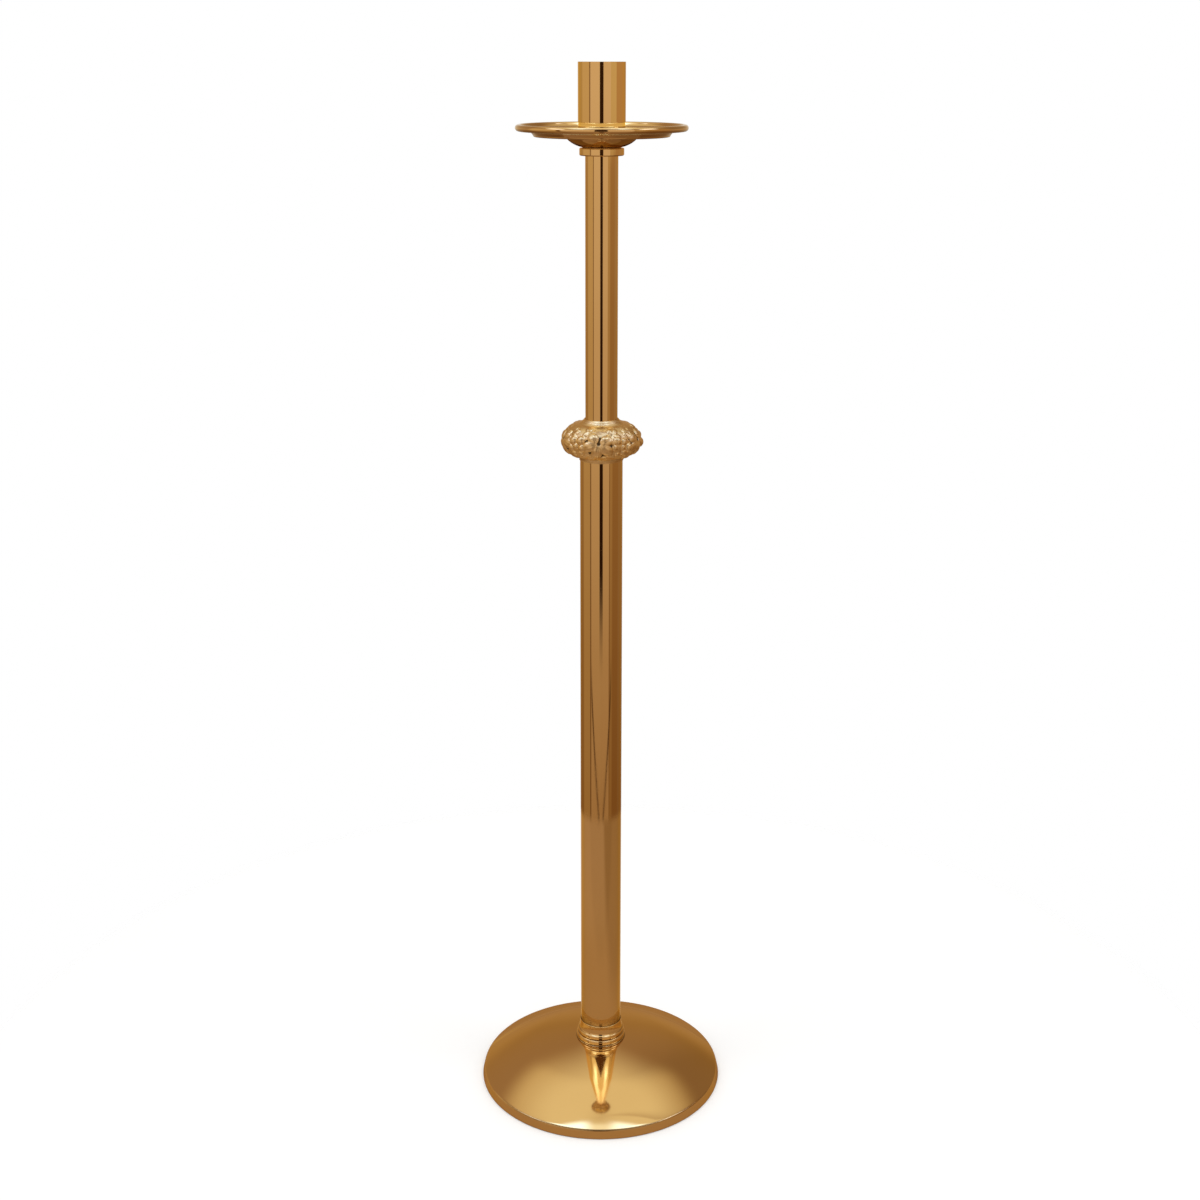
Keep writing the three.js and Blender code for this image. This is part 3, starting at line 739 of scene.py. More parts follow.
def flange(lift):
    """The flange's gentle sag between step and lip, lifted by the wall on its upper side."""
    return [(flange_foot[0] + flange_length[0] * t - lift * 0.3 * (1 - t),
             flange_foot[1] + flange_length[1] * t - flange_sag * math.sin(math.pi * t) + lift)
            for t in np.linspace(0, 1, 9)]


pan_under = [(pan_hole, cup_top), *arc((well_radius - corner, cup_top + corner), corner, -90, 0, 8),
             *flange(0)]
upper_corner = (well_radius - corner - pan_wall, cup_top + corner + pan_wall)
pan_over = [*flange(pan_wall)[-2::-1], *arc(upper_corner, corner, 0, -90, 8),
            (pan_hole, cup_top + pan_wall)]
pan_outline = [*pan_under, *lip_round[1:], *pan_over]
turn("spun_drip_pan", pan_outline, brass_pan, "drip_pan", body="drip_pan", sides=256, rounding=0.5,
     seams=[(cup_rim, cup_top), (pan_hole, cup_top + pan_wall)])

# %% [markdown]
# ## The candle socket
# An open tube with a lightly broken mouth. Outside it is as bright as the stem. Its floor keeps the
# turned finish of the CAD piece, since a candle stands on it.

# %% Candle socket
socket_top = socket_bottom + 77.5
socket_inner = socket_radius - socket_wall
mouth_edge, floor_step = 0.1, 11
socket_outline = [
    (socket_inner, socket_bottom), (socket_radius, socket_bottom),
    (socket_radius, socket_top - mouth_edge), (socket_radius - mouth_edge, socket_top),
    (socket_inner + mouth_edge, socket_top), (socket_inner, socket_top - mouth_edge),
]
turn("open_candle_socket", socket_outline, brass_drawn, "candle_socket", sides=192, rounding=0.3,
     seams=[(socket_radius, cup_top + pan_wall), (socket_inner, socket_bottom + floor_step)])

# %% [markdown]
# ## The knop: a skin of relief
# The knop is a hollow sand casting, round the stem like a bead, with vine leaves and bunches of
# grapes. Carving it from separate solids would leave hard joints that no casting has. Instead the
# belly is a fine grid, and a height is added to it at each point, as a modeller adds clay. Leaves,
# mounds and curls are heights, blended so that one flows into the next.

# %% Knop belly and places on it
knop_neck, knop_half = 4.3, 17.2
knop_middle = knop_bottom + knop_neck + knop_half
knop_root, knop_belly = tube_radius + 0.8, 40.0
fuller_above, leaner_below = 1.8, 2.05
relief_radius = 38.0
columns, belly_rows = 560, 140


def belly_radius(share):
    roundness = np.where(np.asarray(share) > 0, fuller_above, leaner_below)
    fullness = np.clip(1 - np.abs(share) ** roundness, 0, 1)
    return knop_root + (knop_belly - knop_root) * fullness ** (1 / roundness)


fine_share = -np.cos(np.linspace(0, math.pi, 4001))
fine_points = np.stack([belly_radius(fine_share), fine_share * knop_half], 1)
fine_way = np.concatenate([[0], np.cumsum(np.linalg.norm(np.diff(fine_points, axis=0), axis=1))])
fine_way -= fine_way[-1] / 2
way = np.linspace(fine_way[0], fine_way[-1], belly_rows)
row_share = np.interp(way, fine_way, fine_share)
turn_angle = np.linspace(0, 2 * math.pi, columns, endpoint=False)
print("the belly is", round(fine_way[-1] * 2, 1), "mm from edge to edge")

# %% [markdown]
# Each shape in the relief is a function of two lengths on the belly: along, round the knop from a
# motif's middle, and up. A vine leaf is drawn in polar form, with five lobes, a notch at the stalk
# and veins that rise along each lobe.

# %% Heights for leaves and curls
WAY, ANGLE = np.meshgrid(way, turn_angle, indexing="ij")


def around(degrees):
    """Length round the belly from a place at that angle, in millimetres."""
    return ((ANGLE - math.radians(degrees) + math.pi) % (2 * math.pi) - math.pi) * relief_radius


def smooth_step(low, high, value):
    t = np.clip((value - low) / (high - low), 0, 1)
    return t * t * (3 - 2 * t)


LOBES = ((0, 1.0), (58, 0.92), (-58, 0.92), (118, 0.74), (-118, 0.74))


def leaf_height(degrees, up, size, lean, rise=1.5, puff=2.5):
    """A five-lobed vine leaf hanging from its stalk, each lobe a pillow with a vein along it."""
    along, above = around(degrees), WAY - up
    lean = math.radians(lean)
    across = along * math.cos(lean) + above * math.sin(lean)
    down = along * math.sin(lean) - above * math.cos(lean)
    pillow, inside, vein = (np.zeros_like(across) for _ in range(3))
    for axis, length in LOBES:
        t, reach = math.radians(axis), size * length
        far = across * math.sin(t) + down * math.cos(t)
        aside = across * math.cos(t) - down * math.sin(t)
        full = 1 - ((far - 0.55 * reach) / (0.5 * reach)) ** 2 - (aside / (0.33 * size)) ** 2
        full = np.clip(full, 0, 1)
        pillow = np.maximum(pillow, full ** 0.75)
        inside = np.maximum(inside, smooth_step(0.0, 0.3, full))
        vein = np.maximum(vein, np.exp(-(aside / 0.9) ** 2) * smooth_step(0.05, 0.6, full))
    return inside * (rise + puff * pillow - 0.25 * vein)


def cord_height(points, thickness):
    """A raised round cord along points given as (angle in degrees, height on the belly)."""
    nearest = np.full(WAY.shape, 99.0)
    for degrees, up in points:
        nearest = np.minimum(nearest, np.hypot(around(degrees), WAY - up))
    return thickness * 1.15 * np.sqrt(np.clip(1 - (nearest / thickness) ** 2, 0, 1))


def blended(*heights, softness=0.45):
    """The highest of several heights, with the joints between them filled."""
    total = sum(np.exp(h / softness) for h in heights)
    return softness * np.log(total / len(heights))


print("relief grid", WAY.shape)

# %% [markdown]
# ## The knop: one round of leaves and bunches
# Five leaves and five bunches alternate. Smaller leaves sit above and below each bunch and a curl
# fills each gap, so that little of the plain belly is left. The lean of the leaves changes from one
# repeat to the next, and a slow ripple keeps the five from looking stamped.

# %% Relief over the whole knop
motifs = 5
bunch_angles = [-58 + 72 * i for i in range(motifs)]
leaf_angles = [a + 36 for a in bunch_angles]
# small leaves: angle from the bunch, height, size, lean, share of the sway in it, rise and puff
small_leaves = ((-16, 13.0, 12.0, 58, 1, 1.0, 1.9), (20, 17.5, 9.0, -40, 1, 0.9, 1.5),
                (17, -14.0, 10.5, 115, -1, 1.0, 1.5), (-18, -14.5, 9.5, -110, 0, 0.9, 1.4))
curl_way = np.linspace(0, 1, 60)
heights = [np.zeros(WAY.shape)]
for i, (bunch, leaf) in enumerate(zip(bunch_angles, leaf_angles)):
    sway = 14 * math.sin(2.4 * i + 0.8)
    heights.append(leaf_height(leaf, 4.0, 19.0, sway))
    heights += [leaf_height(bunch + aside, up, size, lean + swayed * sway, rise=rise, puff=puff)
                for aside, up, size, lean, swayed, rise, puff in small_leaves]
    mound = np.hypot(around(bunch) / 11.5, WAY / 12.5)
    heights.append(1.8 * np.clip(1 - mound ** 2, 0, 1))
    curl = [(bunch + 15 + (7.5 - 5.4 * t) * math.cos(6.6 * t), 11.0 + (5.6 - 3.8 * t) * math.sin(6.6 * t))
            for t in curl_way]
    heights.append(cord_height(curl, 1.9))
relief = blended(*heights)
ripple = np.sin(ANGLE * 11 + WAY * 0.3) * np.sin(WAY * 0.45 + ANGLE * 4) * 0.15
fade = smooth_step(2.5, 8.0, way[-1] - WAY) * smooth_step(0.5, 6.0, WAY - way[0])
relief = (relief - relief.min() + ripple) * fade
print("relief stands", round(float(relief.max()), 2), "mm proud at most")

# %% [markdown]
# The relief is pushed out square to the belly. The same loop of points goes on over the shoulder,
# down the bore of the upper tube, round the hollow for the coupling and back to the foot, so the
# casting is closed. Low places between the shapes get the hollow attribute from the relief itself.

# %% Knop casting
belly_r, belly_z = belly_radius(row_share), knop_middle + row_share * knop_half
slope_r, slope_z = np.gradient(belly_r), np.gradient(belly_z)
slant = np.hypot(slope_r, slope_z)
out_r, out_z = (slope_z / slant)[:, None], (-slope_r / slant)[:, None]
skin_r, skin_z = belly_r[:, None] + relief * out_r, belly_z[:, None] + relief * out_z
upper_bore, lower_bore, cavity = upper_radius + slip, tube_radius + slip, 14.0
coupling_bottom = lower_tube_top + 3.0
inner = round_corners([
    (19.1, knop_top - 1.8), (upper_bore + 0.6, knop_top), (upper_bore, knop_top),
    (upper_bore, upper_bottom),
    (rod_hole, upper_bottom), (rod_hole, upper_bottom - 3.0), (cavity, upper_bottom - 3.0),
    (cavity, coupling_bottom), (rod_hole, coupling_bottom), (rod_hole, lower_tube_top),
    (lower_bore, lower_tube_top), (lower_bore, knop_bottom), (knop_root, knop_bottom)], 0.3, steps=3)
inner_r = np.array([[r] * columns for r, _ in inner])
inner_z = np.array([[z] * columns for _, z in inner])
loop_r, loop_z = np.vstack([skin_r, inner_r]) * MM, np.vstack([skin_z, inner_z]) * MM
row_count = loop_r.shape[0]
places = np.stack([loop_r * np.cos(turn_angle), loop_r * np.sin(turn_angle), loop_z], 2).reshape(-1, 3)
row, column = np.meshgrid(np.arange(row_count), np.arange(columns), indexing="ij")
next_row, next_column = (row + 1) % row_count, (column + 1) % columns
faces = np.stack([row * columns + column, row * columns + next_column,
                  next_row * columns + next_column, next_row * columns + column], 2).reshape(-1, 4)
knop_mesh = bpy.data.meshes.new("cast_knop")
knop_mesh.from_pydata(places.tolist(), [], faces.tolist())
knop_mesh.shade_smooth()
# Low places between the shapes are darkened through the hollow attribute: painted shade in the creases,
# with polish residue. The inside of the casting gets a quarter of it.
local_mean = sum(np.roll(np.roll(relief, i, 0), j, 1) for i in (-6, 0, 6) for j in (-7, 0, 7)) / 9
hollow = np.clip((local_mean - relief) * 1.3 - 0.1, 0, 1)
write_attribute(knop_mesh, "hollow", np.vstack([hollow, np.full((len(inner), columns), 0.25)]))
knop_mesh.materials.append(brass_cast)
knop = add_object("cast_knop", knop_mesh)
install(knop, "stand", "cast_brass", "knop")

# %% [markdown]
# ## The grapes, in Geometry Nodes
# The berries are the one part of the casting that reads as separate balls. Python only says where
# each one sits on its mound. The tree puts a ball there, makes its size a little uneven with a fixed
# seed, and joins them to one mesh.

# %% Where the berries sit
def on_belly(degrees, along, up, lift):
    """A point on the knop: along and up the belly from a place at that angle, standing out by lift."""
    angle = math.radians(degrees) + along / relief_radius
    share = float(np.interp(up, fine_way, fine_share))
    r, z = float(belly_radius(share)), knop_middle + share * knop_half
    row = int(np.argmin(np.abs(way - up)))
    column = int(round((angle % (2 * math.pi)) / (2 * math.pi) * columns)) % columns
    stand = float(relief[row, column]) * 0.7 + lift
    r, z = r + stand * float(out_r[row, 0]), z + stand * float(out_z[row, 0])
    return (r * math.cos(angle) * MM, r * math.sin(angle) * MM, z * MM)


berry_radius, berry_pitch = 4.8, 7.9
bunch_rows = [2, 3, 2]
berries = []
for i, bunch in enumerate(bunch_angles):
    for level, count in enumerate(bunch_rows):
        for k in range(count):
            along = (k - (count - 1) / 2) * berry_pitch + 1.3 * math.sin(5 * k + 3 * level + i)
            up = 5.0 - level * berry_pitch * 0.86 + 1.1 * math.cos(4 * k + level + 2 * i)
            berries.append(on_belly(bunch, along, up, -2.5))
berry_mesh = bpy.data.meshes.new("berry_points")
berry_mesh.from_pydata(berries, [], [])
print(len(berries), "berries")

# %% Geometry node tree: a ball on every point
berry_tree, given, out = new_group(
    "Berries on points", "GeometryNodeTree",
    {"Geometry": ("NodeSocketGeometry", None), "Berry Radius": (FLOAT, 0.0027),
     "Unevenness": (FLOAT, 0.12), "Seed": ("NodeSocketInt", 7), "Material": ("NodeSocketMaterial", None)},
    {"Geometry": "NodeSocketGeometry"})
ball = place(berry_tree, "GeometryNodeMeshIcoSphere", Radius=given["Berry Radius"], Subdivisions=3)
smallest = calculate(berry_tree, "SUBTRACT", 1.0, given["Unevenness"])
largest = calculate(berry_tree, "ADD", 1.0, given["Unevenness"])
random_size = place(berry_tree, "FunctionNodeRandomValue", {"data_type": "FLOAT"}, Min=smallest,
                    Max=largest, Seed=given["Seed"])
points = place(berry_tree, "GeometryNodeMeshToPoints", Mesh=given["Geometry"]).outputs["Points"]
size = next(o for o in random_size.outputs if o.enabled)
placed = place(berry_tree, "GeometryNodeInstanceOnPoints", Points=points,
               Instance=ball.outputs["Mesh"], Scale=size)
joined = place(berry_tree, "GeometryNodeRealizeInstances", Geometry=placed.outputs["Instances"])
round_shaded = place(berry_tree, "GeometryNodeSetShadeSmooth", Geometry=joined.outputs["Geometry"],
                     Shade_Smooth=True)
finished = place(berry_tree, "GeometryNodeSetMaterial", Geometry=round_shaded.outputs["Geometry"],
                 Material=given["Material"])
give(berry_tree, out, Geometry=finished.outputs["Geometry"])

grapes = run_tree("knop_grapes", berry_mesh, berry_tree,
                  {"Berry Radius": berry_radius * MM, "Unevenness": 0.2, "Seed": 7, "Material": brass_cast})
ball_count = len(grapes.data.vertices) // len(berries)
centres = np.repeat(np.array(berries), ball_count, 0)
spots = np.array([v.co for v in grapes.data.vertices])
outward = ((spots[:, :2] - centres[:, :2]) * centres[:, :2]).sum(1) / np.linalg.norm(centres[:, :2], axis=1)
# Painted shade: the side of each berry that faces the belly is darkened through the hollow attribute.
berry_inner_shade = np.clip(0.3 - outward / (berry_radius * MM), 0, 1) * 0.8
write_attribute(grapes.data, "hollow", berry_inner_shade)
install(grapes, "stand", "cast_brass")

# %% [markdown]
# ## Felt under the foot
# A disc of wool felt is glued under the cover plate so that the stand doesn't scratch a floor. Punched
# felt has a slightly crushed, rounded edge and a surface that is never flat.

# %% Felt disc
_, felt_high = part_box("felt_pad")
felt_radius, felt_top = felt_high.x / MM, felt_high.z / MM
felt_rings, felt_sides, felt_hole, felt_edge = 26, 192, 4.0, 1.2
flat_radii = np.linspace(felt_hole, felt_radius - felt_edge, felt_rings)
felt_rows = [(r, 0.0) for r in flat_radii]
felt_rows += [(felt_radius - 0.5 * (1 - math.sin(t)), felt_top * 0.5 * (1 - math.cos(t)))
              for t in np.linspace(0, math.pi, 9)]
felt_rows += [(r, felt_top) for r in flat_radii[::-1]]
felt_angle = np.linspace(0, 2 * math.pi, felt_sides, endpoint=False)
felt_vertices, felt_faces = [], []
for r, h in felt_rows:
    nap = 0.06 * np.sin(felt_angle * 31 + r) * np.sin(felt_angle * 17 - r * 0.7)
    level = h + nap * (0.5 if 0.2 < h < felt_top - 0.2 else 0.0)
    felt_vertices += [(r * math.cos(t) * MM, r * math.sin(t) * MM, z * MM)
                      for t, z in zip(felt_angle, level)]
last_ring = (len(felt_rows) - 1) * felt_sides
for ring in range(0, last_ring, felt_sides):
    for j in range(felt_sides):
        a, b = ring + j, ring + (j + 1) % felt_sides
        felt_faces.append((a, b, b + felt_sides, a + felt_sides))
for ring, level, flip in ((0, 0.0, True), (last_ring, felt_top, False)):
    pole = len(felt_vertices)
    felt_vertices.append((0, 0, level * MM))
    for j in range(felt_sides):
        a, b = ring + j, ring + (j + 1) % felt_sides
        felt_faces.append((b, a, pole) if flip else (a, b, pole))
felt_mesh = bpy.data.meshes.new("felt_disc")
felt_mesh.from_pydata(felt_vertices, [], felt_faces)
felt_mesh.shade_smooth()
felt_mesh.materials.append(felt_wool)
felt_disc = add_object("felt_disc", felt_mesh)
install(felt_disc, "stand", "felt", "felt_pad")

# %% [markdown]
# ## Finishes for the CAD pieces that stay
# The tie rod, its nuts and washers, the bushes, the weight, the cover plate and the socket floor have
# the right shape already. They only need a finish in place of the plain colour they came with.

# %% Finishes on the remaining CAD nodes
cad_finishes = {"base_weight": iron_cast}
for node_name in ("base_plate", "rod_bottom_washer", "rod_bottom_nut", "lower_tie_rod", "rod_coupling",
                  "upper_tie_rod", "rod_top_washer", "rod_top_nut"):
    cad_finishes[node_name] = steel_zinc
for node_name in ("lower_tube_foot_bush", "lower_tube_top_bush", "upper_tube_foot_bush",
                  "upper_tube_top_bush", "socket_floor"):
    cad_finishes[node_name] = brass_plain
for node_name, finish in cad_finishes.items():
    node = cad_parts[node_name]
    node.data.materials.clear()
    node.data.materials.append(finish)
left_plain = [n for n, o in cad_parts.items() if not o.hide_render and n not in cad_finishes]
print("CAD nodes with a new finish:", len(cad_finishes), "left plain:", left_plain)

# %% [markdown]
# ## The floor
# A round of pale floor is enough: it catches the soft shadow at the foot and is what the lower stem
# and the base mirror. It fades out at its edge into the white around it. To the camera it is lifted
# toward white and keeps its shadow. In the metal it is painted darker and warmer near the foot and
# darker still at the right, as painted shade.

# %% Floor
def disc_mesh(name, radius, rings_out=24, sides=96):
    vertices, faces_made = [(0, 0, 0)], []
    for i in range(1, rings_out + 1):
        r = radius * i / rings_out
        vertices += [(r * math.cos(2 * math.pi * j / sides), r * math.sin(2 * math.pi * j / sides), 0)
                     for j in range(sides)]
    for j in range(sides):
        k = (j + 1) % sides
        faces_made.append((0, 1 + j, 1 + k))
        for i in range(rings_out - 1):
            a, b = 1 + i * sides, 1 + (i + 1) * sides
            faces_made.append((a + j, b + j, b + k, a + k))
    mesh = bpy.data.meshes.new(name)
    mesh.from_pydata(vertices, [], faces_made)
    return mesh


FLOOR_PALE = (0.82, 0.815, 0.805, 1.0)
FLOOR_PAINTED_SHADE_NEAR_FOOT = (0.76, 0.72, 0.60, 1.0)
FLOOR_PAINTED_SHADE_RIGHT = (0.60, 0.555, 0.45, 1.0)
floor_radius, fade_start, fade_end = 0.74, 0.69, 0.73
camera_lift, mirrored_lift = 0.22, 0.3


def mirrored_only(tree, rays):
    """1 for what a mirror or glass shows, 0 for what the camera sees itself."""
    return calculate(tree, "MAXIMUM", rays["Is Glossy Ray"], rays["Is Transmission Ray"])


floor_material, tree = new_material("pale_floor")
where = on_object(tree)
axes = split(tree, where)
from_axis = off_axis(tree, axes)
rays = place(tree, "ShaderNodeLightPath").outputs
mirrored_ray = mirrored_only(tree, rays)
shown = calculate(tree, "MULTIPLY", mirrored_ray, ramp(tree, axes["Y"], -0.36, -0.24, smooth=True))
seen = calculate(tree, "MULTIPLY_ADD", shown, mirrored_lift, rays["Is Camera Ray"])
lift = calculate(tree, "MULTIPLY", seen, camera_lift)
# Painted shade on the floor as the metal shows it: darker and warmer near the foot and at the right.
shade_near_foot = ramp(tree, from_axis, 0.2, 0.6, 1.0, 0.0, smooth=True)
shade_at_right = ramp(tree, axes["X"], 0.1, 0.3, smooth=True)
colour = FLOOR_PALE
for share, toward in ((shade_near_foot, FLOOR_PAINTED_SHADE_NEAR_FOOT), (shade_at_right, FLOOR_PAINTED_SHADE_RIGHT)):
    colour = mix_colours(tree, calculate(tree, "MULTIPLY", share, mirrored_ray), colour, toward)
paper = noise(tree, where, 120.0, 4.0)
paper_bump = place(tree, "ShaderNodeBump", Height=paper, Distance=2e-4, Strength=0.4).outputs["Normal"]
surface = place(tree, "ShaderNodeBsdfPrincipled", Base_Color=colour, Roughness=0.85, Normal=paper_bump,
                Emission_Color=(1.0, 1.0, 1.0, 1.0), Emission_Strength=lift, Specular_IOR_Level=0.0)
clear = place(tree, "ShaderNodeBsdfTransparent").outputs["BSDF"]
faded = ramp(tree, from_axis, fade_start, fade_end, smooth=True)
place(tree, "ShaderNodeOutputMaterial", Surface=mix_shaders(tree, faded, surface.outputs["BSDF"], clear))

floor = add_object("floor", disc_mesh("floor", floor_radius))
floor.data.materials.append(floor_material)
print("floor ready")

# %% [markdown]
# ## The studio, as directions
# Polished metal is a picture of the room. What makes this brass look like brass is a pale room with
# a few darker gaps between its screens. The room is painted on the world by direction: an azimuth
# from the camera's side and an elevation. One group draws a soft-edged screen between two azimuths
# and two elevations, and the world adds them up. The camera itself sees plain white.

# %% Shader group: one screen of the studio
studio_screen, given, out = new_group(
    "Studio screen", "ShaderNodeTree",
    {"Azimuth": (FLOAT, 0.0), "Elevation": (FLOAT, 0.0), "Left": (FLOAT, -30.0), "Right": (FLOAT, 30.0),
     "Bottom": (FLOAT, -90.0), "Top": (FLOAT, 90.0), "Side Blur": (FLOAT, 3.0), "End Blur": (FLOAT, 4.0)},
    {"Mask": FLOAT})


def soft_edge(tree, value, middle, blur, rising):
    """Goes from 0 to 1 across a blur round that middle, or from 1 to 0 where it isn't rising."""
    half = calculate(tree, "MULTIPLY", blur, 0.5)
    start, end = (calculate(tree, way, middle, half) for way in ("SUBTRACT", "ADD"))
    return ramp(tree, value, start, end, *((0.0, 1.0) if rising else (1.0, 0.0)), smooth=True)


tree = studio_screen
sideways, upwards = (
    calculate(tree, "MULTIPLY", soft_edge(tree, given[way], given[low], given[blur], True),
              soft_edge(tree, given[way], given[high], given[blur], False))
    for way, low, high, blur in (("Azimuth", "Left", "Right", "Side Blur"),
                                 ("Elevation", "Bottom", "Top", "End Blur")))
give(tree, out, Mask=calculate(tree, "MULTIPLY", sideways, upwards))

# %% World: the room that the metal mirrors
world = bpy.data.worlds.new("studio")
bpy.context.scene.world = world
world.use_nodes = True
tree = world.node_tree
tree.nodes.clear()
axes = split(tree, place(tree, "ShaderNodeTexCoord").outputs["Generated"])
azimuth = calculate(tree, "DEGREES", calculate(
    tree, "ARCTAN2", axes["X"], calculate(tree, "MULTIPLY", axes["Y"], -1.0)))
elevation = calculate(tree, "DEGREES", calculate(tree, "ARCSINE", axes["Z"]))


def lay_screen(below, across, up, colour, left, right, bottom, top, side_blur, end_blur):
    """Lays one screen of a colour over what is there already."""
    mask = use_group(tree, studio_screen, Azimuth=across, Elevation=up, Left=left, Right=right,
                     Bottom=bottom, Top=top, Side_Blur=side_blur, End_Blur=end_blur)["Mask"]
    return mix_colours(tree, mask, below, (*colour, 1.0))


WIDE = 400.0
room = (0.70, 0.655, 0.585, 1.0)
# colour, left and right azimuth, bottom and top elevation, blur at the sides and at the ends
for screen in (
        # the wall behind, near the floor, and the walls at the sides
        ((0.84, 0.82, 0.78), -WIDE, WIDE, -95, 12, 3.0, 14.0),
        ((0.54, 0.495, 0.41), 96, 158, 6, 62, 24.0, 22.0),
        # golden wall at the left, brown one at the right, both paler above the lamp's height
        ((1.26, 1.38, 1.22), -112, -50, -95, 30, 14.0, 24.0),
        ((1.02, 1.06, 0.84), -165, -108, -2.8, 1, 10.0, 1.5),
        ((1.02, 1.02, 0.80), 38, 100, -95, 30, 4.0, 24.0),
        ((0.80, 0.70, 0.48), 62, 104, -95, 30, 10.0, 24.0),
        ((1.28, 1.44, 1.20), 42, 76, -2.8, 1, 4.0, 1.5),
        ((1.02, 0.92, 0.66), 76, 135, -2.8, 1, 8.0, 1.5),
        # two light screens left and right of the camera
        ((1.44, 1.66, 1.84), -57, 0, -95, 36, 1.5, 20.0),
        ((1.42, 1.62, 1.80), 0, 44, -95, 36, 1.5, 20.0),
        # thin gaps at their outer edges
        ((0.52, 0.46, 0.38), -63, -57, -95, 30, 2.5, 12.0),
        ((0.56, 0.48, 0.38), 43, 47, -24, -12, 3.0, 6.0),
        # paler stretches high on the walls at the sides, toward the back
        ((1.24, 1.42, 1.34), -156, -94, 43, 95, 24.0, 16.0),
        ((0.98, 1.06, 0.90), 104, 150, 45, 95, 24.0, 16.0),
        # the ceiling, brighter in front, with a long lamp at each side
        ((1.74, 2.32, 2.64), -WIDE, 96, 54, 95, 3.0, 30.0),
        ((1.74, 2.32, 2.64), 96, WIDE, 54.4, 95, 30.0, 27.0),
        ((2.05, 2.80, 3.70), -74, 72, 50, 73, 8.0, 8.0),
        ((4.20, 8.00, 17.0), -64, -37, 57, 72, 5.0, 6.0),
        ((4.00, 6.20, 12.0), -90, -58, 33, 48, 5.0, 6.0),
        ((4.20, 8.00, 17.0), 37, 64, 57, 72, 5.0, 6.0),
        ((4.00, 6.20, 12.0), 58, 90, 33, 48, 5.0, 6.0),
        # a door behind the stand, which only shows from the back
        ((0.18, 0.12, 0.07), 168, WIDE, -60, -8, 3.0, 6.0),
        ((0.18, 0.12, 0.07), -WIDE, -168, -60, -8, 3.0, 6.0),
        # the dark gap where the camera stands
        ((0.065, 0.038, 0.025), -9.5, 8, -18.5, 37, 2.0, 4.0)):
    room = lay_screen(room, azimuth, elevation, *screen)

# %% [markdown]
# Close to the floor the room grows darker and warmer, since the screens stand on it and light each
# other less. Two legs of dark cloth also come together there, which draws a narrow V where the stem
# starts to mirror the floor.

# %% World: the room near the floor
NEAR_FLOOR = (0.53, 0.43, 0.33, 1.0)
LEG_CLOTH = (0.20, 0.145, 0.09, 1.0)
leg_top, leg_joint, leg_spread = -20.0, -25.6, 56.0
shade = mix_colours(tree, ramp(tree, elevation, 0.0, -25.0), (1.0, 1.0, 1.0, 1.0), NEAR_FLOOR)
room = mix_colours(tree, 1.0, room, shade, blend_type="MULTIPLY")

leg_way = calculate(tree, "POWER", ramp(tree, elevation, leg_top, leg_joint), 1.4)
leg_azimuth = calculate(tree, "MULTIPLY", calculate(tree, "SUBTRACT", 1.0, leg_way), leg_spread)
aside = calculate(tree, "ABSOLUTE", azimuth)
from_leg = calculate(tree, "ABSOLUTE", calculate(tree, "SUBTRACT", aside, leg_azimuth))
leg = ramp(tree, from_leg, 1.0, 6.0, 1.0, 0.0, smooth=True)
leg_seen = ramp(tree, elevation, -19.5, -21.0)
room = mix_colours(tree, calculate(tree, "MULTIPLY", leg, leg_seen), room, LEG_CLOTH)

# %% World: a dark wedge over the camera and a lamp overhead
WEDGE = (0.22, 0.15, 0.11, 1.0)
wedge_width = ramp(tree, elevation, 48.0, 62.0, 70.0, 0.0)
wedge = ramp(tree, calculate(tree, "SUBTRACT", aside, wedge_width), -4.0, 2.0, 1.0, 0.0, smooth=True)
wedge_seen = soft_edge(tree, elevation, 42.0, 5.0, True)
room = mix_colours(tree, calculate(tree, "MULTIPLY", wedge, wedge_seen), room, WEDGE)

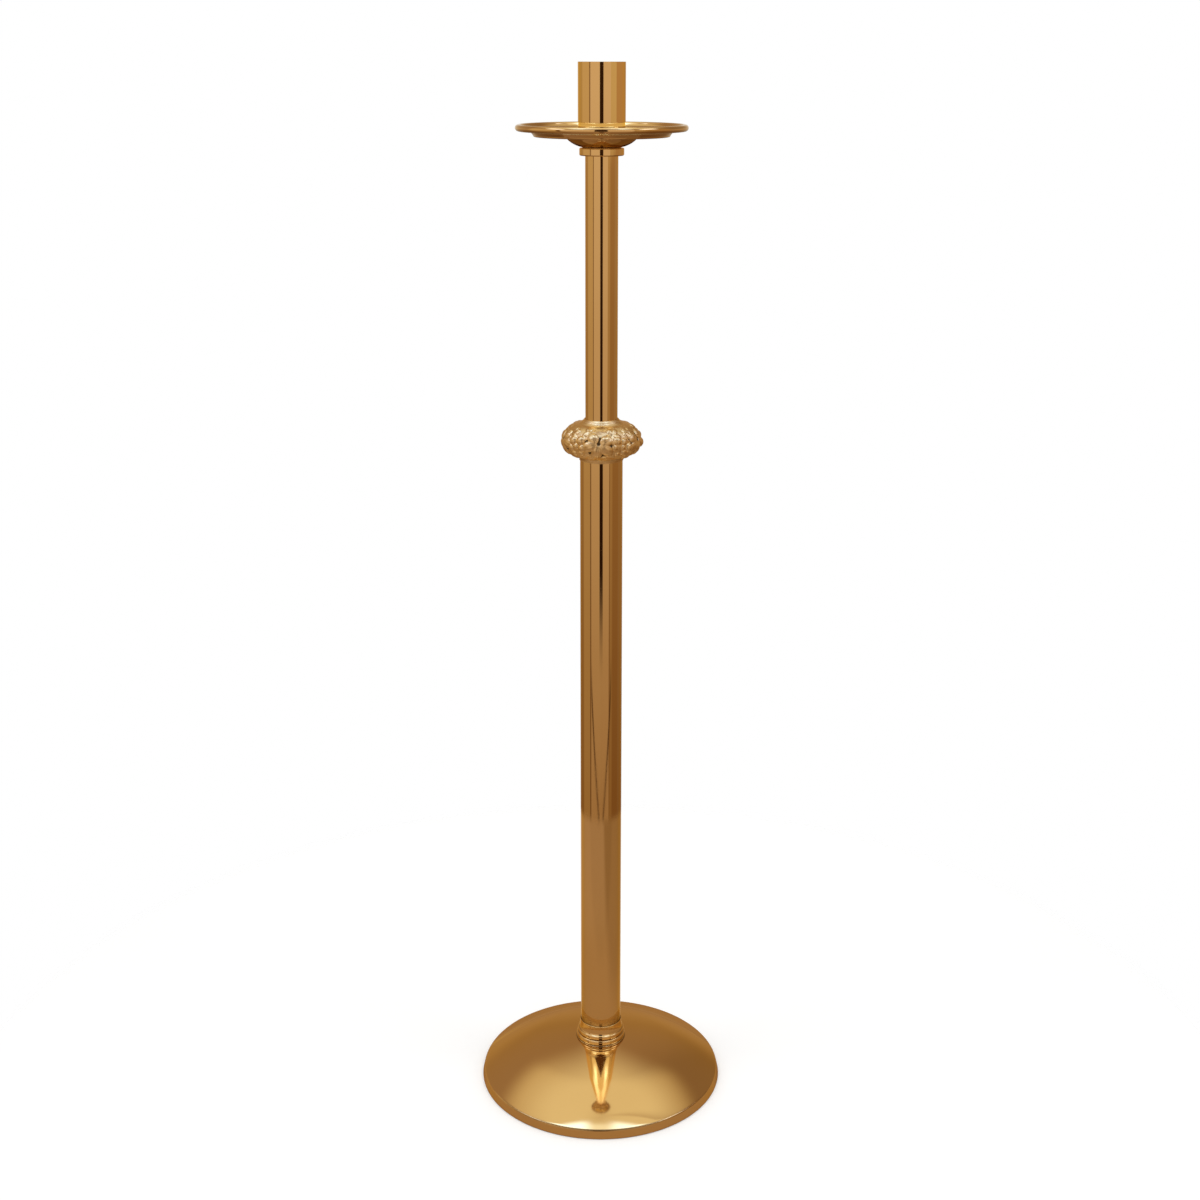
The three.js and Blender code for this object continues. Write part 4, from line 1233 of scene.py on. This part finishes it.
ceiling_height = 100.0
height_up = calculate(tree, "MAXIMUM", axes["Z"], 0.01)
overhead_right, overhead_back = (
    calculate(tree, "DIVIDE", calculate(tree, "MULTIPLY", axes[a], ceiling_height), height_up)
    for a in "XY")
for lamp in (((2.30, 3.60, 5.60), -58, 48, -30, -8.0, 14.0, 5.0),
             ((3.40, 6.60, 15.0), -50, -11, -30, -5.4, 14.0, 6.0),
             ((3.30, 6.20, 13.5), 10, 40, -30, -6.0, 14.0, 6.0)):
    room = lay_screen(room, overhead_right, overhead_back, *lamp)

# %% World: white to the camera, plain to matt surfaces
PLAIN_ROOM, WHITE = (0.85, 0.85, 0.85, 1.0), (1.0, 1.0, 1.0, 1.0)
rays = place(tree, "ShaderNodeLightPath").outputs
room = mix_colours(tree, mirrored_only(tree, rays), PLAIN_ROOM, room)
room = mix_colours(tree, rays["Is Camera Ray"], room, WHITE)
background = place(tree, "ShaderNodeBackground", Color=room, Strength=1.0)
place(tree, "ShaderNodeOutputWorld", Surface=background.outputs["Background"])
print("world nodes", len(tree.nodes))

# %% [markdown]
# ## Two soft boxes
# Two soft boxes hang high at the left and right and throw the soft shadow at the foot. What the
# metal shows of lamps is already painted on the world, so these two are hidden from reflections, and
# from the camera, since other views look from where they hang.

# %% Lamps
def soft_box(name, place_at, look_at, width, height, radiance):
    lamp = bpy.data.lights.new(name, "AREA")
    lamp.shape = "RECTANGLE"
    lamp.size, lamp.size_y = width, height
    lamp.energy = radiance * math.pi * width * height
    box = add_object(name, lamp)
    box.location = place_at
    box.rotation_euler = (Vector(look_at) - Vector(place_at)).to_track_quat("-Z", "Y").to_euler()
    box.visible_camera = box.visible_glossy = False
    print(name, "power", round(lamp.energy, 1), "W")


for name, side in (("left_soft_box", -0.72), ("right_soft_box", 0.72)):
    soft_box(name, (side, -0.26, 1.9), look_at=(0, 0, 0.1), width=0.42, height=0.62, radiance=5.0)

# %% [markdown]
# ## Colours as written
# The picture is taken with the Standard view, so that a colour comes out as it was written.

# %% View transform
bpy.context.scene.view_settings.view_transform = "Standard"
